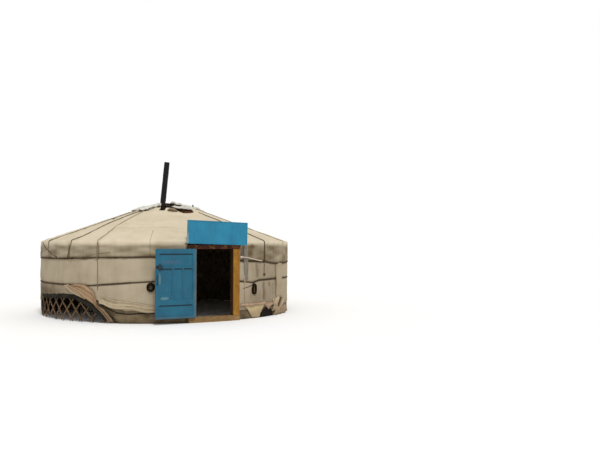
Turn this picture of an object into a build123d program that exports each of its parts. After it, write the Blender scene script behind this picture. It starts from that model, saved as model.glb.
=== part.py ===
from build123d import *
import math
import os

# Millimetres and degrees. The origin is on the ground on the yurt's axis, +Z is up and the
# door faces -Y. Angles run from the door towards +X, so 90 is the yurt's right-hand side.

# Setting out of the round wall
cells = 64
cell_deg = 360 / cells
khana_count = 5
khana_cells = 12
door_cells = cells - khana_count * khana_cells
door_half_deg = door_cells * cell_deg / 2
seat_gap = 0.3

# Lattice of laths
lath_width = 32
lath_thick = 12
lath_mid_r = 3030
half_rows = 9
half_row = 172
facet_cells = 2
tip_columns = 0.35

# Covers of the wall
felt_thick = 22
canvas_thick = 4
cover_gap = 4
lath_outer_r = lath_mid_r + lath_thick
felt_inner_r = lath_outer_r + seat_gap
felt_outer_r = felt_inner_r + felt_thick
canvas_inner_r = felt_outer_r + seat_gap
canvas_outer_r = canvas_inner_r + canvas_thick
flap_inner_r = canvas_outer_r + seat_gap
flap_outer_r = flap_inner_r + canvas_thick
flap_below = 24
flap_short_z = 1700
canvas_seam_deg = 14 * cell_deg
eave_bevel = 40
felt_edge = 12
skirt_thick = 10
skirt_high = 330
skirt_roll_r = 32
skirt_foot_z = 3

# Roof
roof_slope = 0.36
pole_side = 42
pole_tip_side = 30
pole_end_step = 10
roof_felt_thick = 40
crown_r = 700
crown_width = 60
crown_height = 120
spoke_count = 8
spoke_width = 30
spoke_height = 45
spoke_rise = 60
spoke_below_top = 10
hub_r = 95
hub_half = 33
hub_below_spokes = 12
flap_thick = 30
flap_reach = 260
flap_lift = 3
flap_start_deg = 90
flap_end_deg = 292.5
bared_width = 300
peg_cell = 6.5
peg_section = (40, 28)
peg_high = 84
peg_taper = 12

# Doorway
clear_width = 840
frame_proud = 80
frame_depth = 150
frame_bevel = 12
strip_width = 45
strip_depth = 15
sill_top_z = 115
lintel_foot_z = 1570
leaf_clear = 6
leaf_lap = 12
leaf_thick = 32
leaf_open_deg = 184
hinge_reach = 13
hinge_lines = (330, 1320)
barrel_r = 9
barrel_high = 40
end_high = 14
end_play = 0.5
pin_r = 5
pin_slack = 0.05
plate_long = 75
plate_past = 20
strap_thick = 3
strap_long = 90

# Crown posts
post_inset = 32
post_x = crown_r - post_inset
post_section = (60, 90)
post_head = (60, 260, 90)

# Stovepipe
pipe_angle = -67.5
pipe_r = 250
pipe_length = [598, 633, 338]
pipe_drop = 250
pipe_lap = 38
pipe_slack = 0.6
collar_r = 94
collar_high = 40
collar_sheet = 3
collar_under = 4.8
pipe_d = 134
pipe_wall = 2.5
pipe_sides = 16
pipe_lean_deg = 5.2
pipe_lean_towards = 71.6

# Sign box over the door
sign_width = 1370
sign_x = 45
sign_height = 500
sign_depth = 100
sign_turn_deg = 1.5
sign_lip = 18
sign_recess = 6
sign_behind = 2
packing = (90, 34)
packing_inset = 30

# Coils of spare rope: angle, share of the wall's height, and half width and height
coil_left = (-4.5 * cell_deg, 0.462, 62, 72)
coil_right = (3.5 * cell_deg, 0.398, 34, 108)
coil_fat = 26
coil_deep = 60
coil_sides = 12


def at(angle, r, z):
    """Point at an angle from the door, a radius and a height."""
    a = math.radians(angle)
    return Vector(r * math.sin(a), -r * math.cos(a), z)


def facet(*points):
    return Face(Wire.make_polygon([Vector(p) for p in points], close=True))


def flat(a, b, c, d):
    """Whether four points lie in one plane."""
    return abs((b - a).cross(c - a).normalized().dot(d - a)) < 1e-4


def skin(sections, closed=False):
    """Solid through outlines that all have the same number of points."""
    faces = []
    pairs = list(zip(sections, sections[1:]))
    if closed:
        pairs.append((sections[-1], sections[0]))
    for near, far in pairs:
        for i in range(len(near)):
            a, b = near[i - 1], near[i]
            c, d = far[i], far[i - 1]
            if flat(a, b, c, d):
                faces.append(facet(a, b, c, d))
            else:
                faces.append(facet(a, b, c))
                faces.append(facet(a, c, d))
    if not closed:
        faces.append(facet(*sections[0]))
        faces.append(facet(*sections[-1]))
    solid = Solid(Shell(faces))
    if solid.volume < 0:
        solid = Solid(Shell([-f for f in faces]))
    return solid


# The lattice and everything laid on it has the same flat facets, so that the layers lie close.
# Radii are those of a facet's corners.
facet_deg = facet_cells * cell_deg


def facet_middle(angle):
    return (math.floor(angle / facet_deg) + 0.5) * facet_deg


def chord(angle):
    """Radius of a facet at an angle, as a share of its corners' radius."""
    return math.cos(math.radians(facet_deg / 2)) / math.cos(math.radians(angle - facet_middle(angle)))


def on_wall(angle, r, z):
    return at(angle, r * chord(angle), z)


def ring_section(angle, corners):
    return [on_wall(angle, r, z) for r, z in corners]


def span(first, last, step=facet_deg):
    """Angles from first to last, both included, at the wall's own divisions."""
    count = round((last - first) / step)
    return [first + step * i for i in range(count + 1)]


def between(points, angle):
    """Value at an angle, straight between the two nearest of the given points."""
    for (a0, v0), (a1, v1) in zip(points, points[1:]):
        if a0 <= angle <= a1:
            return v0 + (v1 - v0) * (angle - a0) / (a1 - a0)
    return points[-1][1]


def khana_start(index):
    return door_half_deg + index * khana_cells * cell_deg


# Lattice: each khana is two layers of laths that touch on one faceted surface and are fused.
row_angle = math.atan2(2 * half_row, 2 * lath_mid_r * math.sin(math.radians(cell_deg / 2)))
lath_half_z = lath_width / 2 / math.cos(row_angle)
foot_row_z = tip_columns * half_row + lath_half_z
head_z = foot_row_z + half_rows * half_row


def lath(first_angle, foot_column, rise, inner):
    """One lath of a khana, rising to the right or left from a foot at a half-cell column."""
    columns = 2 * khana_cells
    low, high = -tip_columns, half_rows + tip_columns
    ends = sorted((foot_column + rise * low, foot_column + rise * high))
    start, stop = max(ends[0], 0), min(ends[1], columns)
    if stop - start < 0.5:
        return None
    bends = [c for c in range(0, columns + 1, 2 * facet_cells) if start < c < stop]
    inner_r = lath_mid_r - lath_thick if inner else lath_mid_r
    outer_r = inner_r + lath_thick
    sections = []
    for column in [start, *bends, stop]:
        z = foot_row_z + half_row * (column - foot_column) * rise
        corners = [(inner_r, z - lath_half_z), (outer_r, z - lath_half_z),
                   (outer_r, z + lath_half_z), (inner_r, z + lath_half_z)]
        sections.append(ring_section(first_angle + column * cell_deg / 2, corners))
    return skin(sections)


khana_end_x = (lath_mid_r - lath_thick) * math.sin(math.radians(door_half_deg))


def khana(first_angle):
    laths = []
    for foot in range(-2 * khana_cells, 4 * khana_cells + 1, 2):
        laths.append(lath(first_angle, foot, 1, True))
        laths.append(lath(first_angle, foot, -1, False))
    laths = [piece for piece in laths if piece]
    return laths[0].fuse(*laths[1:])


# A pole lies in the fork of two laths at the lattice's head, and ends flush with them
half_cell = math.radians(cell_deg / 2)
pole_half = pole_side / math.sqrt(2)
slope_run = math.hypot(1, roof_slope)
pole_end_r = lath_outer_r - pole_half * math.tan(half_cell)
fork_z = head_z + lath_half_z
fork_lift = max(0, pole_half * (math.tan(row_angle) - slope_run))
pole_seat_z = fork_z + fork_lift + seat_gap + roof_slope * (pole_end_r - lath_mid_r)
felt_under_z = pole_seat_z + 2 * pole_half * slope_run + seat_gap
canvas_under_z = felt_under_z + roof_felt_thick * slope_run + seat_gap
crown_z = pole_seat_z + roof_slope * (lath_mid_r - crown_r) - pole_end_step


def on_slope(base_z, r):
    return base_z + roof_slope * (lath_mid_r - r)


def pole(angle):
    """One roof pole, square with a corner down so that it lies in the fork of the lattice head."""
    tip_half = pole_tip_side / math.sqrt(2)
    tip_r = crown_r + seat_gap + tip_half * math.tan(half_cell)
    sections = []
    for r, half in ((pole_end_r, pole_half), (tip_r, tip_half)):
        centre = on_wall(angle, r, on_slope(pole_seat_z, r) + pole_half * slope_run)
        across, upright = at(angle + 90, half, 0), Vector(0, 0, half * slope_run)
        sections.append([centre + across, centre + upright, centre - across, centre - upright])
    return skin(sections)


def poles():
    return Compound([pole((i + 0.5) * cell_deg) for i in range(cells)])


# Covers. Lines round the wall are angle and height, in shares of the wall's height.
def wall_line(points):
    return [(angle, share * fork_z) for angle, share in points]


felt_feet = wall_line([(11, 0), (256, 0), (274, 0.344), (304, 0.344), (323, 0), (349, 0)])
canvas_hems = wall_line([(11, 0.12), (30, 0.145), (250, 0.133), (272, 0.362), (306, 0.362),
                         (315, 0.284), (325, 0.157), (338, 0.181), (349, 0.145)])
upper_line = wall_line([(11, 0.84), (45, 0.754), (100, 0.8), (180, 0.845), (292, 0.822), (315, 0.839),
                        (335, 0.847), (349, 0.848)])
middle_line = wall_line([(11, 0.517), (36, 0.521), (100, 0.5), (250, 0.49), (309, 0.477), (326, 0.517),
                         (337, 0.538), (349, 0.54)])
wall_top_z = on_slope(felt_under_z, canvas_outer_r) - cover_gap


def cover_section(angle, inner_r, outer_r, foot_z):
    return ring_section(angle, [(inner_r, foot_z), (outer_r, foot_z),
                                (outer_r, wall_top_z), (inner_r, wall_top_z)])


def wall_felt(first, last):
    return skin([cover_section(a, felt_inner_r, felt_outer_r, between(felt_feet, a))
                 for a in span(first, last)])


def wall_canvas(first, last):
    return skin([cover_section(a, canvas_inner_r, canvas_outer_r, between(canvas_hems, a))
                 for a in span(first, last)])


def ground_skirt():
    """Band of cloth laid against the foot of the wall beside the door, its upper edge rolled."""
    sections = []
    for a in span(door_half_deg, door_half_deg + 2 * facet_deg):
        r0 = canvas_outer_r + seat_gap
        roll_r, roll_z = r0 + skirt_roll_r, skirt_high + skirt_roll_r
        roll = [(roll_r + skirt_roll_r * math.sin(math.radians(t)),
                 roll_z - skirt_roll_r * math.cos(math.radians(t))) for t in range(45, 316, 45)]
        sections.append(ring_section(a, [(r0, skirt_foot_z), (r0 + skirt_thick, skirt_foot_z),
                                         (r0 + skirt_thick, skirt_high), *roll, (r0, skirt_high)]))
    return skin(sections)


# The eave is rounded over: the felt's upper edge is bevelled and the canvas lies over the bevel
cover_r = crown_r + 6
bared_lines = [(-2 * facet_deg, 0), (-facet_deg, 0), (0, 1), (3 * facet_deg, 1), (4 * facet_deg, 0)]
shoulder_r = canvas_outer_r - eave_bevel
felt_edge_z = on_slope(felt_under_z, canvas_outer_r) + felt_edge
canvas_rise = canvas_thick * slope_run


def cover_edge(angle):
    """Radius of the covers' upper edge, which is drawn back from the crown on the right of the door."""
    return cover_r + bared_width * between(bared_lines, angle)


def roof_felt(first, last):
    sections = []
    for a in span(first, last):
        edge_r = cover_edge(a)
        sections.append(ring_section(a, [
            (edge_r, on_slope(felt_under_z, edge_r)),
            (canvas_outer_r, on_slope(felt_under_z, canvas_outer_r)),
            (canvas_outer_r, felt_edge_z),
            (shoulder_r, on_slope(canvas_under_z, shoulder_r) - seat_gap),
            (edge_r, on_slope(canvas_under_z, edge_r) - seat_gap)]))
    return skin(sections)


def canvas_top(r):
    return on_slope(canvas_under_z, r) + canvas_rise


flap_cut_deg = door_half_deg + cell_deg / 2


def roof_canvas(first, last):
    """Canvas over the roof, with a flap that hangs over the wall, cut short over the door."""
    cuts = [a for a in (-flap_cut_deg, flap_cut_deg) if first < a < last]
    sections = []
    for a in sorted(span(first, last) + cuts):
        over_door = abs(a) < flap_cut_deg - 1
        foot_z = flap_short_z if over_door else between(upper_line, a % 360) - flap_below
        edge_r = cover_edge(a)
        sections.append(ring_section(a, [
            (edge_r, on_slope(canvas_under_z, edge_r)),
            (shoulder_r, on_slope(canvas_under_z, shoulder_r)),
            (flap_inner_r, felt_edge_z + seat_gap),
            (flap_inner_r, foot_z),
            (flap_outer_r, foot_z),
            (flap_outer_r, felt_edge_z + seat_gap + canvas_thick / 2),
            (shoulder_r + canvas_thick / 2, canvas_top(shoulder_r + canvas_thick / 2)),
            (edge_r, canvas_top(edge_r))]))
    return skin(sections)


# Ropes round the wall and over the roof, in a plain three-sided section. A roof rope's path is
# shares of the wall's radius and angles: those in front slant, and the rest run straight down at
# whole cells. Two have tails down the wall, to a share of its height.
slant_ropes = [[(0, -65.3), (0.62, -64.8), (0.79, -61.5), (1, -59)],
               [(0, -56), (0.55, -53.7), (0.87, -48.5), (1, -47.3)],
               [(0, 22.8), (0.34, 23.5), (0.5, 27.5), (1, 26.4)]]
straight_rope_cells = [8, 13, 19, 25, 32, 39, 45, 50]
rope_tails = [(-47.3, 0.42), (26.4, 0.58)]
rope_from_flap = 10
rope_clear = 2
belt_high = 24
belt_deep = 18
rope_half = 8
rope_proud = 15


def belt(line, inner_r):
    sections = []
    for a in span(door_half_deg, 360 - door_half_deg):
        z = between(line, a)
        r0, r1 = inner_r + seat_gap, inner_r + seat_gap + belt_deep
        sections.append(ring_section(a, [(r0, z - belt_high / 2), (r1, z), (r0, z + belt_high / 2)]))
    return skin(sections)


def facet_height(line, angle):
    """Height at an angle of a line that runs straight from one facet's corner to the next."""
    middle = facet_middle(angle % 360)
    low, high = between(line, middle - facet_deg / 2), between(line, middle + facet_deg / 2)
    share = math.tan(math.radians(angle % 360 - middle)) / math.tan(math.radians(facet_deg / 2))
    return (low + high) / 2 + (high - low) / 2 * share


def rope_section(angle, r, z, out, up):
    """Section of a rope that lies on a surface whose slope faces out and up."""
    across = at(facet_middle(angle) + 90, rope_half, 0)
    base = on_wall(angle, r + out * seat_gap, z + up * seat_gap)
    top = on_wall(angle, r + out * rope_proud, z + up * rope_proud)
    return [base - across, base + across, top]


def roof_rope(path):
    """Rope from the crown over the eave to the upper belt."""
    line = [(share * canvas_outer_r, angle) for share, angle in path]
    start_angle, foot_angle = path[0][1], path[-1][1]
    behind = flap_start_deg < foot_angle % 360 < flap_end_deg
    start_r = crown_r + flap_reach + rope_from_flap if behind else cover_edge(start_angle)
    shoulder = shoulder_r + canvas_thick / 2
    radii = [start_r, *[r for r, _ in line if start_r < r < shoulder], shoulder]
    sections = [rope_section(between(line, r), r, canvas_top(r), roof_slope / slope_run, 1 / slope_run)
                for r in radii]
    foot_z = facet_height(upper_line, foot_angle) + belt_high / 2 + rope_clear
    eave_z = felt_edge_z + seat_gap + canvas_thick / 2
    sections.append(rope_section(foot_angle, flap_outer_r, eave_z, 0.95, 0.3))
    sections.append(rope_section(foot_angle, flap_outer_r, foot_z, 1, 0))
    return skin(sections)


def rope_tail(angle, foot_share):
    """End of a roof rope, hanging down the wall canvas from the flap, past the middle belt."""
    foot_z = foot_share * fork_z
    top_z = facet_height(upper_line, angle) - flap_below - rope_clear
    belt_z = facet_height(middle_line, angle)
    past_belt = belt_high / 2 + rope_clear
    spans = [(top_z, max(foot_z, belt_z + past_belt))]
    if foot_z < belt_z:
        spans.append((belt_z - past_belt, foot_z))
    return [skin([rope_section(angle, canvas_outer_r, z, 1, 0) for z in ends]) for ends in spans]


def roof_ropes():
    paths = slant_ropes + [[(0, a * cell_deg), (1, a * cell_deg)] for a in straight_rope_cells]
    tails = [piece for tail in rope_tails for piece in rope_tail(*tail)]
    return Compound([roof_rope(path) for path in paths] + tails)


# Crown
def crown_rim():
    corners = [(crown_r - crown_width, crown_z), (crown_r, crown_z),
               (crown_r, crown_z + crown_height), (crown_r - crown_width, crown_z + crown_height)]
    return skin([ring_section(a, corners) for a in span(0, 360)[:-1]], closed=True)


def crown_spokes():
    inner_face = crown_r - crown_width - spoke_width / 2 * math.tan(math.radians(cell_deg)) - seat_gap
    foot_z = crown_z + crown_height - spoke_height - spoke_below_top
    pieces = []
    for i in range(spoke_count):
        angle = i * 360 / spoke_count
        across = at(angle + 90, spoke_width / 2, 0)
        sections = []
        for t in (0, 0.5, 1):
            r = inner_face * (1 - t) + hub_r * 0.5 * t
            z = foot_z + spoke_rise * math.sin(math.radians(90 * t))
            low, high = at(angle, r, z), at(angle, r, z + spoke_height)
            sections.append([low - across, low + across, high + across, high - across])
        pieces.append(skin(sections))
    hub_z = foot_z + spoke_rise - hub_below_spokes
    hub = Pos(0, 0, hub_z + hub_half) * extrude(RegularPolygon(hub_r, spoke_count), hub_half, both=True)
    return hub.fuse(*pieces)


# Two posts carry the crown, right and left of the hearth
def crown_post(side):
    foot = Pos(side * post_x, 0, 0)
    head_z = crown_z - seat_gap - post_head[2]
    shaft = foot * Box(*post_section, head_z, align=(Align.CENTER, Align.CENTER, Align.MIN))
    head = foot * Pos(0, 0, head_z) * Box(*post_head, align=(Align.CENTER, Align.CENTER, Align.MIN))
    return shaft.fuse(head)


def crown_flap():
    """Cloth folded back over the far half of the crown and down on to the roof canvas.

    On the left it comes forward beside the pipe, and there it starts outside the pipe's collar.
    """
    rim_top = crown_z + crown_height
    hem_r = crown_r + flap_reach
    profile = [(hub_r, rim_top + spoke_rise + 2 * flap_lift), (crown_r, rim_top + flap_lift),
               (hem_r, canvas_top(hem_r) + seat_gap)]
    clear_r = pipe_r + collar_r + flap_thick / 2
    sections = []
    for a in span(flap_start_deg, flap_end_deg):
        inner_r = clear_r if a > 360 + pipe_angle - 3 * facet_deg else hub_r
        under = [(inner_r, between(profile, inner_r)), *profile[1:]]
        over = [(r, z + flap_thick) for r, z in under]
        sections.append(ring_section(a, under + over[::-1]))
    return skin(sections)


def crown_peg():
    """Stub of a stake lashed to the rim's outer face, standing on the end of a roof pole."""
    angle = peg_cell * cell_deg
    out, across = at(angle, 1, 0), at(angle + 90, peg_section[0] / 2, 0)
    near_r = crown_r * chord(angle) + seat_gap + peg_section[0] / 2 * math.tan(half_cell)
    far_r = near_r + peg_section[1]
    low = on_slope(pole_seat_z, crown_r) + 2 * pole_half * slope_run
    high = crown_z + crown_height + peg_high
    sections = []
    for z, taper in ((low, 0), (high, peg_taper)):
        near, far = out * (near_r + taper) + Vector(0, 0, z), out * far_r + Vector(0, 0, z)
        sections.append([near - across, near + across, far + across, far - across])
    return skin(sections)


# Stovepipe: three slip-jointed sections, leaning as one. Each upper one has a wider mouth that
# goes over the one below.
pipe_foot = at(pipe_angle, pipe_r, crown_z)
pipe_lean = at(pipe_lean_towards, math.sin(math.radians(pipe_lean_deg)), 0)
pipe_up = (pipe_lean + Vector(0, 0, math.cos(math.radians(pipe_lean_deg)))).normalized()


def turned(profile):
    """Solid turned round the pipe's axis from radii and distances along it."""
    across = pipe_up.cross(Vector(0, 1, 0)).normalized()
    beside = pipe_up.cross(across)
    sections = []
    for i in range(pipe_sides):
        a = 2 * math.pi * i / pipe_sides
        out = across * math.cos(a) + beside * math.sin(a)
        sections.append([pipe_foot + pipe_up * t + out * r for r, t in profile])
    return skin(sections, closed=True)


def stovepipe(low, high, mouth):
    outer, inner = pipe_d / 2, pipe_d / 2 - pipe_wall
    if not mouth:
        return turned([(inner, low), (outer, low), (outer, high), (inner, high)])
    mouth_r = outer + pipe_slack
    return turned([(mouth_r, low - pipe_lap), (mouth_r + pipe_wall, low - pipe_lap),
                   (mouth_r + pipe_wall, low), (outer, high), (inner, high), (mouth_r, low)])


def pipe_collar():
    low = crown_height + spoke_rise - collar_under
    bore, sleeve = pipe_d / 2 + seat_gap, pipe_d / 2 + seat_gap + collar_sheet
    return turned([(bore, low), (collar_r, low), (collar_r, low + collar_sheet),
                   (sleeve, low + collar_sheet), (sleeve, low + collar_high), (bore, low + collar_high)])


# Doorway
frame_front_y = -(lath_mid_r + frame_proud)
frame_back_y = frame_front_y + frame_depth
post_outer_x = khana_end_x - seat_gap
leaf_width = clear_width + 2 * leaf_lap
leaf_foot_z = sill_top_z + leaf_clear
leaf_height = lintel_foot_z - leaf_foot_z + leaf_clear
hinge_x = -clear_width / 2 - leaf_lap - hinge_reach
hinge_y = frame_front_y - leaf_thick - leaf_clear


def block(x0, x1, y0, y1, z0, z1):
    size = (x1 - x0, y1 - y0, z1 - z0)
    return Pos((x0 + x1) / 2, (y0 + y1) / 2, (z0 + z1) / 2) * Box(*size)


def door_post(side):
    """Post with its opening edge bevelled and a set-back strip at its outer edge."""
    inner, outer = side * clear_width / 2, side * post_outer_x
    strip_x = outer - side * strip_width
    low, high = sill_top_z + seat_gap, lintel_foot_z - seat_gap
    outline = [(inner, frame_front_y + frame_bevel), (inner + side * frame_bevel, frame_front_y),
               (strip_x, frame_front_y), (strip_x, frame_front_y + strip_depth),
               (outer, frame_front_y + strip_depth), (outer, frame_back_y), (inner, frame_back_y)]
    return extrude(facet(*[(x, y, low) for x, y in outline]), high - low, dir=(0, 0, 1))


def cross_piece(outline):
    """Piece across the doorway with an outline of depths and heights."""
    return extrude(facet(*[(-post_outer_x, y, z) for y, z in outline]), 2 * post_outer_x, dir=(1, 0, 0))


def door_lintel():
    return cross_piece([(frame_front_y + frame_bevel, lintel_foot_z),
                        (frame_front_y, lintel_foot_z + frame_bevel), (frame_front_y, fork_z),
                        (frame_back_y, fork_z), (frame_back_y, lintel_foot_z)])


def door_sill():
    return cross_piece([(frame_front_y, 0), (frame_front_y, sill_top_z - frame_bevel),
                        (frame_front_y + frame_bevel, sill_top_z), (frame_back_y, sill_top_z),
                        (frame_back_y, 0)])


# The leaf is drawn shut, then turned open about its hinge
def open_leaf(shape):
    hinge = Axis((hinge_x, hinge_y, 0), (0, 0, 1))
    return shape.rotate(hinge, -leaf_open_deg)


leaf_x0 = hinge_x + hinge_reach
leaf_x1 = leaf_x0 + leaf_width
leaf_y0 = hinge_y
leaf_y1 = leaf_y0 + leaf_thick
leaf_z1 = leaf_foot_z + leaf_height
stile = 80
top_rail = 100
rail_lines = [(0, 55), (285, 115), (1045, 45), (leaf_height - top_rail, top_rail)]
muntin_lines = [(270, 30), (480, 40)]
panel_inset = 11
hasp = (60, 60, 4)
hasp_up = 1045
staple = (12, 24, 22)
handle_up = 700
handle_long = 200
handle_out = 34
handle_grip = 12


def panel_fields():
    """Openings of the leaf's frame as left, right, low and high."""
    fields = []
    for row, ((low, size), (high, _)) in enumerate(zip(rail_lines, rail_lines[1:])):
        sides = [0, stile, *[x for line in muntin_lines for x in (line[0], sum(line))], leaf_width - stile]
        columns = list(zip(sides[1::2], sides[2::2])) if row == 1 else [(stile, leaf_width - stile)]
        for left, right in columns:
            fields.append((leaf_x0 + left, leaf_x0 + right, leaf_foot_z + low + size, leaf_foot_z + high))
    return fields


def leaf_frame():
    full = block(leaf_x0, leaf_x1, leaf_y0, leaf_y1, leaf_foot_z, leaf_z1)
    return full.cut(*[block(x0, x1, leaf_y0 - 1, leaf_y1 + 1, z0, z1) for x0, x1, z0, z1 in panel_fields()])


def leaf_panels():
    return Compound([block(x0 + seat_gap, x1 - seat_gap, leaf_y0 + panel_inset, leaf_y1 - panel_inset,
                           z0 + seat_gap, z1 - seat_gap) for x0, x1, z0, z1 in panel_fields()])


def knuckle(z, height, radius, across_flats=False):
    outline = RegularPolygon(radius, 8, major_radius=not across_flats)
    return Pos(hinge_x, hinge_y, z) * extrude(outline, height)


def frame_hinges():
    """Plates on the left post, each with an arm out to a barrel round the pin."""
    pieces = []
    plate_y = frame_front_y - seat_gap
    for z in hinge_lines:
        barrel = knuckle(z, barrel_high, barrel_r)
        arm = block(hinge_x - strap_thick, hinge_x + strap_thick, hinge_y, plate_y, z, z + barrel_high)
        plate = block(hinge_x - plate_long, hinge_x + strap_thick, plate_y - strap_thick, plate_y,
                      z - plate_past, z + barrel_high + plate_past)
        bore = knuckle(z - 1, barrel_high + 2, pin_r + pin_slack, across_flats=True)
        pieces.append(barrel.fuse(arm, plate).cut(bore))
    return Compound(pieces)


def leaf_hinges():
    """Straps on the leaf's outer face, with the pin held by a knuckle above and below."""
    pieces = []
    strap_y = leaf_y0 - seat_gap
    for z in hinge_lines:
        low, high = z - end_high - end_play, z + barrel_high + end_play
        pin = knuckle(low, high + end_high - low, pin_r)
        ends = [knuckle(low, end_high, barrel_r), knuckle(high, end_high, barrel_r)]
        strap = block(leaf_x0 + 1, leaf_x0 + strap_long, strap_y - strap_thick, strap_y, low, high + end_high)
        links = [block(hinge_x, leaf_x0 + 3, strap_y - strap_thick, strap_y, end, end + end_high)
                 for end in (low, high)]
        pieces.append(pin.fuse(*ends, strap, *links))
    return Compound(pieces)


def leaf_latch():
    """Hasp plate and a bow handle below it, on the free stile's inner face."""
    x, face_y = leaf_x1 - stile / 2, leaf_y1 + seat_gap
    hasp_z, handle_z = leaf_foot_z + hasp_up, leaf_foot_z + handle_up
    staple_z = hasp_z + (hasp[1] - staple[1]) / 2
    plate = block(x - hasp[0] / 2, x + hasp[0] / 2, face_y, face_y + hasp[2], hasp_z, hasp_z + hasp[1])
    loop = block(x - staple[0] / 2, x + staple[0] / 2, face_y + hasp[2] - 1, face_y + staple[2],
                 staple_z, staple_z + staple[1])
    grip = handle_grip
    bow = block(x - grip / 2, x + grip / 2, face_y, face_y + handle_out, handle_z, handle_z + handle_long)
    hollow = block(x - grip, x + grip, face_y - 1, face_y + handle_out - grip,
                   handle_z + grip, handle_z + handle_long - grip)
    return Compound([plate.fuse(loop), bow.cut(hollow)])


# Sign box, standing on the lintel and dipping to the right, with its panel set back inside a lip
sign_slope = math.tan(math.radians(sign_turn_deg))


def sign_board():
    align = (Align.CENTER, Align.MAX, Align.MIN)
    box = Box(sign_width, sign_depth, sign_height, align=align)
    panel_size = (sign_width - 2 * sign_lip, sign_recess, sign_height - 2 * sign_lip)
    panel = Pos(0, sign_recess - sign_depth, sign_lip) * Box(*panel_size, align=align)
    lift = fork_z + seat_gap + (post_outer_x - sign_x) * sign_slope
    return Pos(sign_x, -flap_outer_r - sign_behind, lift) * Rot(0, sign_turn_deg, 0) * box.cut(panel)


def sign_bracket():
    """Packing block under the sign's raised end."""
    left = -post_outer_x + packing_inset
    right = left + packing[0]
    top = fork_z + (post_outer_x - right) * sign_slope
    return block(left, right, frame_front_y, frame_front_y + packing[1], fork_z + seat_gap, top)


def rope_coil(angle, share, half_wide, half_high):
    """Spare rope in a flat bundle of loops, hung on the wall by its middle belt."""
    face_angle = facet_middle(angle)
    out, across = at(face_angle, 1, 0), at(face_angle + 90, 1, 0)
    face_r = canvas_outer_r * math.cos(math.radians(facet_deg / 2))
    beside = face_r * math.tan(math.radians(angle - face_angle))
    middle = out * (face_r + seat_gap + coil_deep / 2) + across * beside + Vector(0, 0, share * fork_z)
    sections = []
    for i in range(coil_sides):
        a = 2 * math.pi * i / coil_sides
        radial = across * math.cos(a) + Vector(0, 0, math.sin(a))
        centre = middle + across * math.cos(a) * half_wide + Vector(0, 0, math.sin(a) * half_high)
        sections.append([centre + radial * coil_fat, centre + out * coil_deep / 2,
                         centre - radial * coil_fat, centre - out * coil_deep / 2])
    return skin(sections, closed=True)


def save(name, shape):
    export_step(shape, f"parts/{name}.step")
    print(name, round(shape.volume / 1e6, 2), "litres")


os.makedirs("parts", exist_ok=True)

first_khana = khana(khana_start(0))
for i in range(khana_count):
    save(f"khana_{i + 1}", first_khana.rotate(Axis.Z, i * khana_cells * cell_deg))
    save(f"wall_felt_{i + 1}", wall_felt(khana_start(i), khana_start(i + 1)))
for name, start, stop in (("right", 0, 2), ("back", 2, 3), ("left", 3, 5)):
    save(f"wall_canvas_{name}", wall_canvas(khana_start(start), khana_start(stop)))
save("ground_skirt", ground_skirt())

save("roof_poles", poles())
save("roof_felt_front", roof_felt(-90, 90))
save("roof_felt_back", roof_felt(90, 270))
save("roof_canvas_front", roof_canvas(-canvas_seam_deg, canvas_seam_deg))
save("roof_canvas_right", roof_canvas(canvas_seam_deg, 180))
save("roof_canvas_left", roof_canvas(180, 360 - canvas_seam_deg))
save("roof_ropes", roof_ropes())

save("wall_ropes", Compound([belt(upper_line, flap_outer_r), belt(middle_line, canvas_outer_r)]))
save("rope_coil_left", rope_coil(*coil_left))
save("rope_coil_right", rope_coil(*coil_right))

save("crown_rim", crown_rim())
save("crown_spokes", crown_spokes())
save("crown_flap", crown_flap())
save("crown_peg", crown_peg())
save("crown_post_left", crown_post(-1))
save("crown_post_right", crown_post(1))

low = -pipe_drop
for name, length in zip(("lower", "middle", "upper"), pipe_length):
    save(f"stovepipe_{name}", stovepipe(low, low + length, mouth=name != "lower"))
    low += length + seat_gap
save("pipe_collar", pipe_collar())

save("door_post_left", door_post(-1))
save("door_post_right", door_post(1))
save("door_lintel", door_lintel())
save("door_sill", door_sill())
save("sign_board", sign_board())
save("sign_bracket", sign_bracket())
save("leaf_frame", open_leaf(leaf_frame()))
save("leaf_panels", open_leaf(leaf_panels()))
save("leaf_latch", open_leaf(leaf_latch()))
save("leaf_hinges", open_leaf(leaf_hinges()))
save("frame_hinges", frame_hinges())
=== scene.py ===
import math

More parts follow.
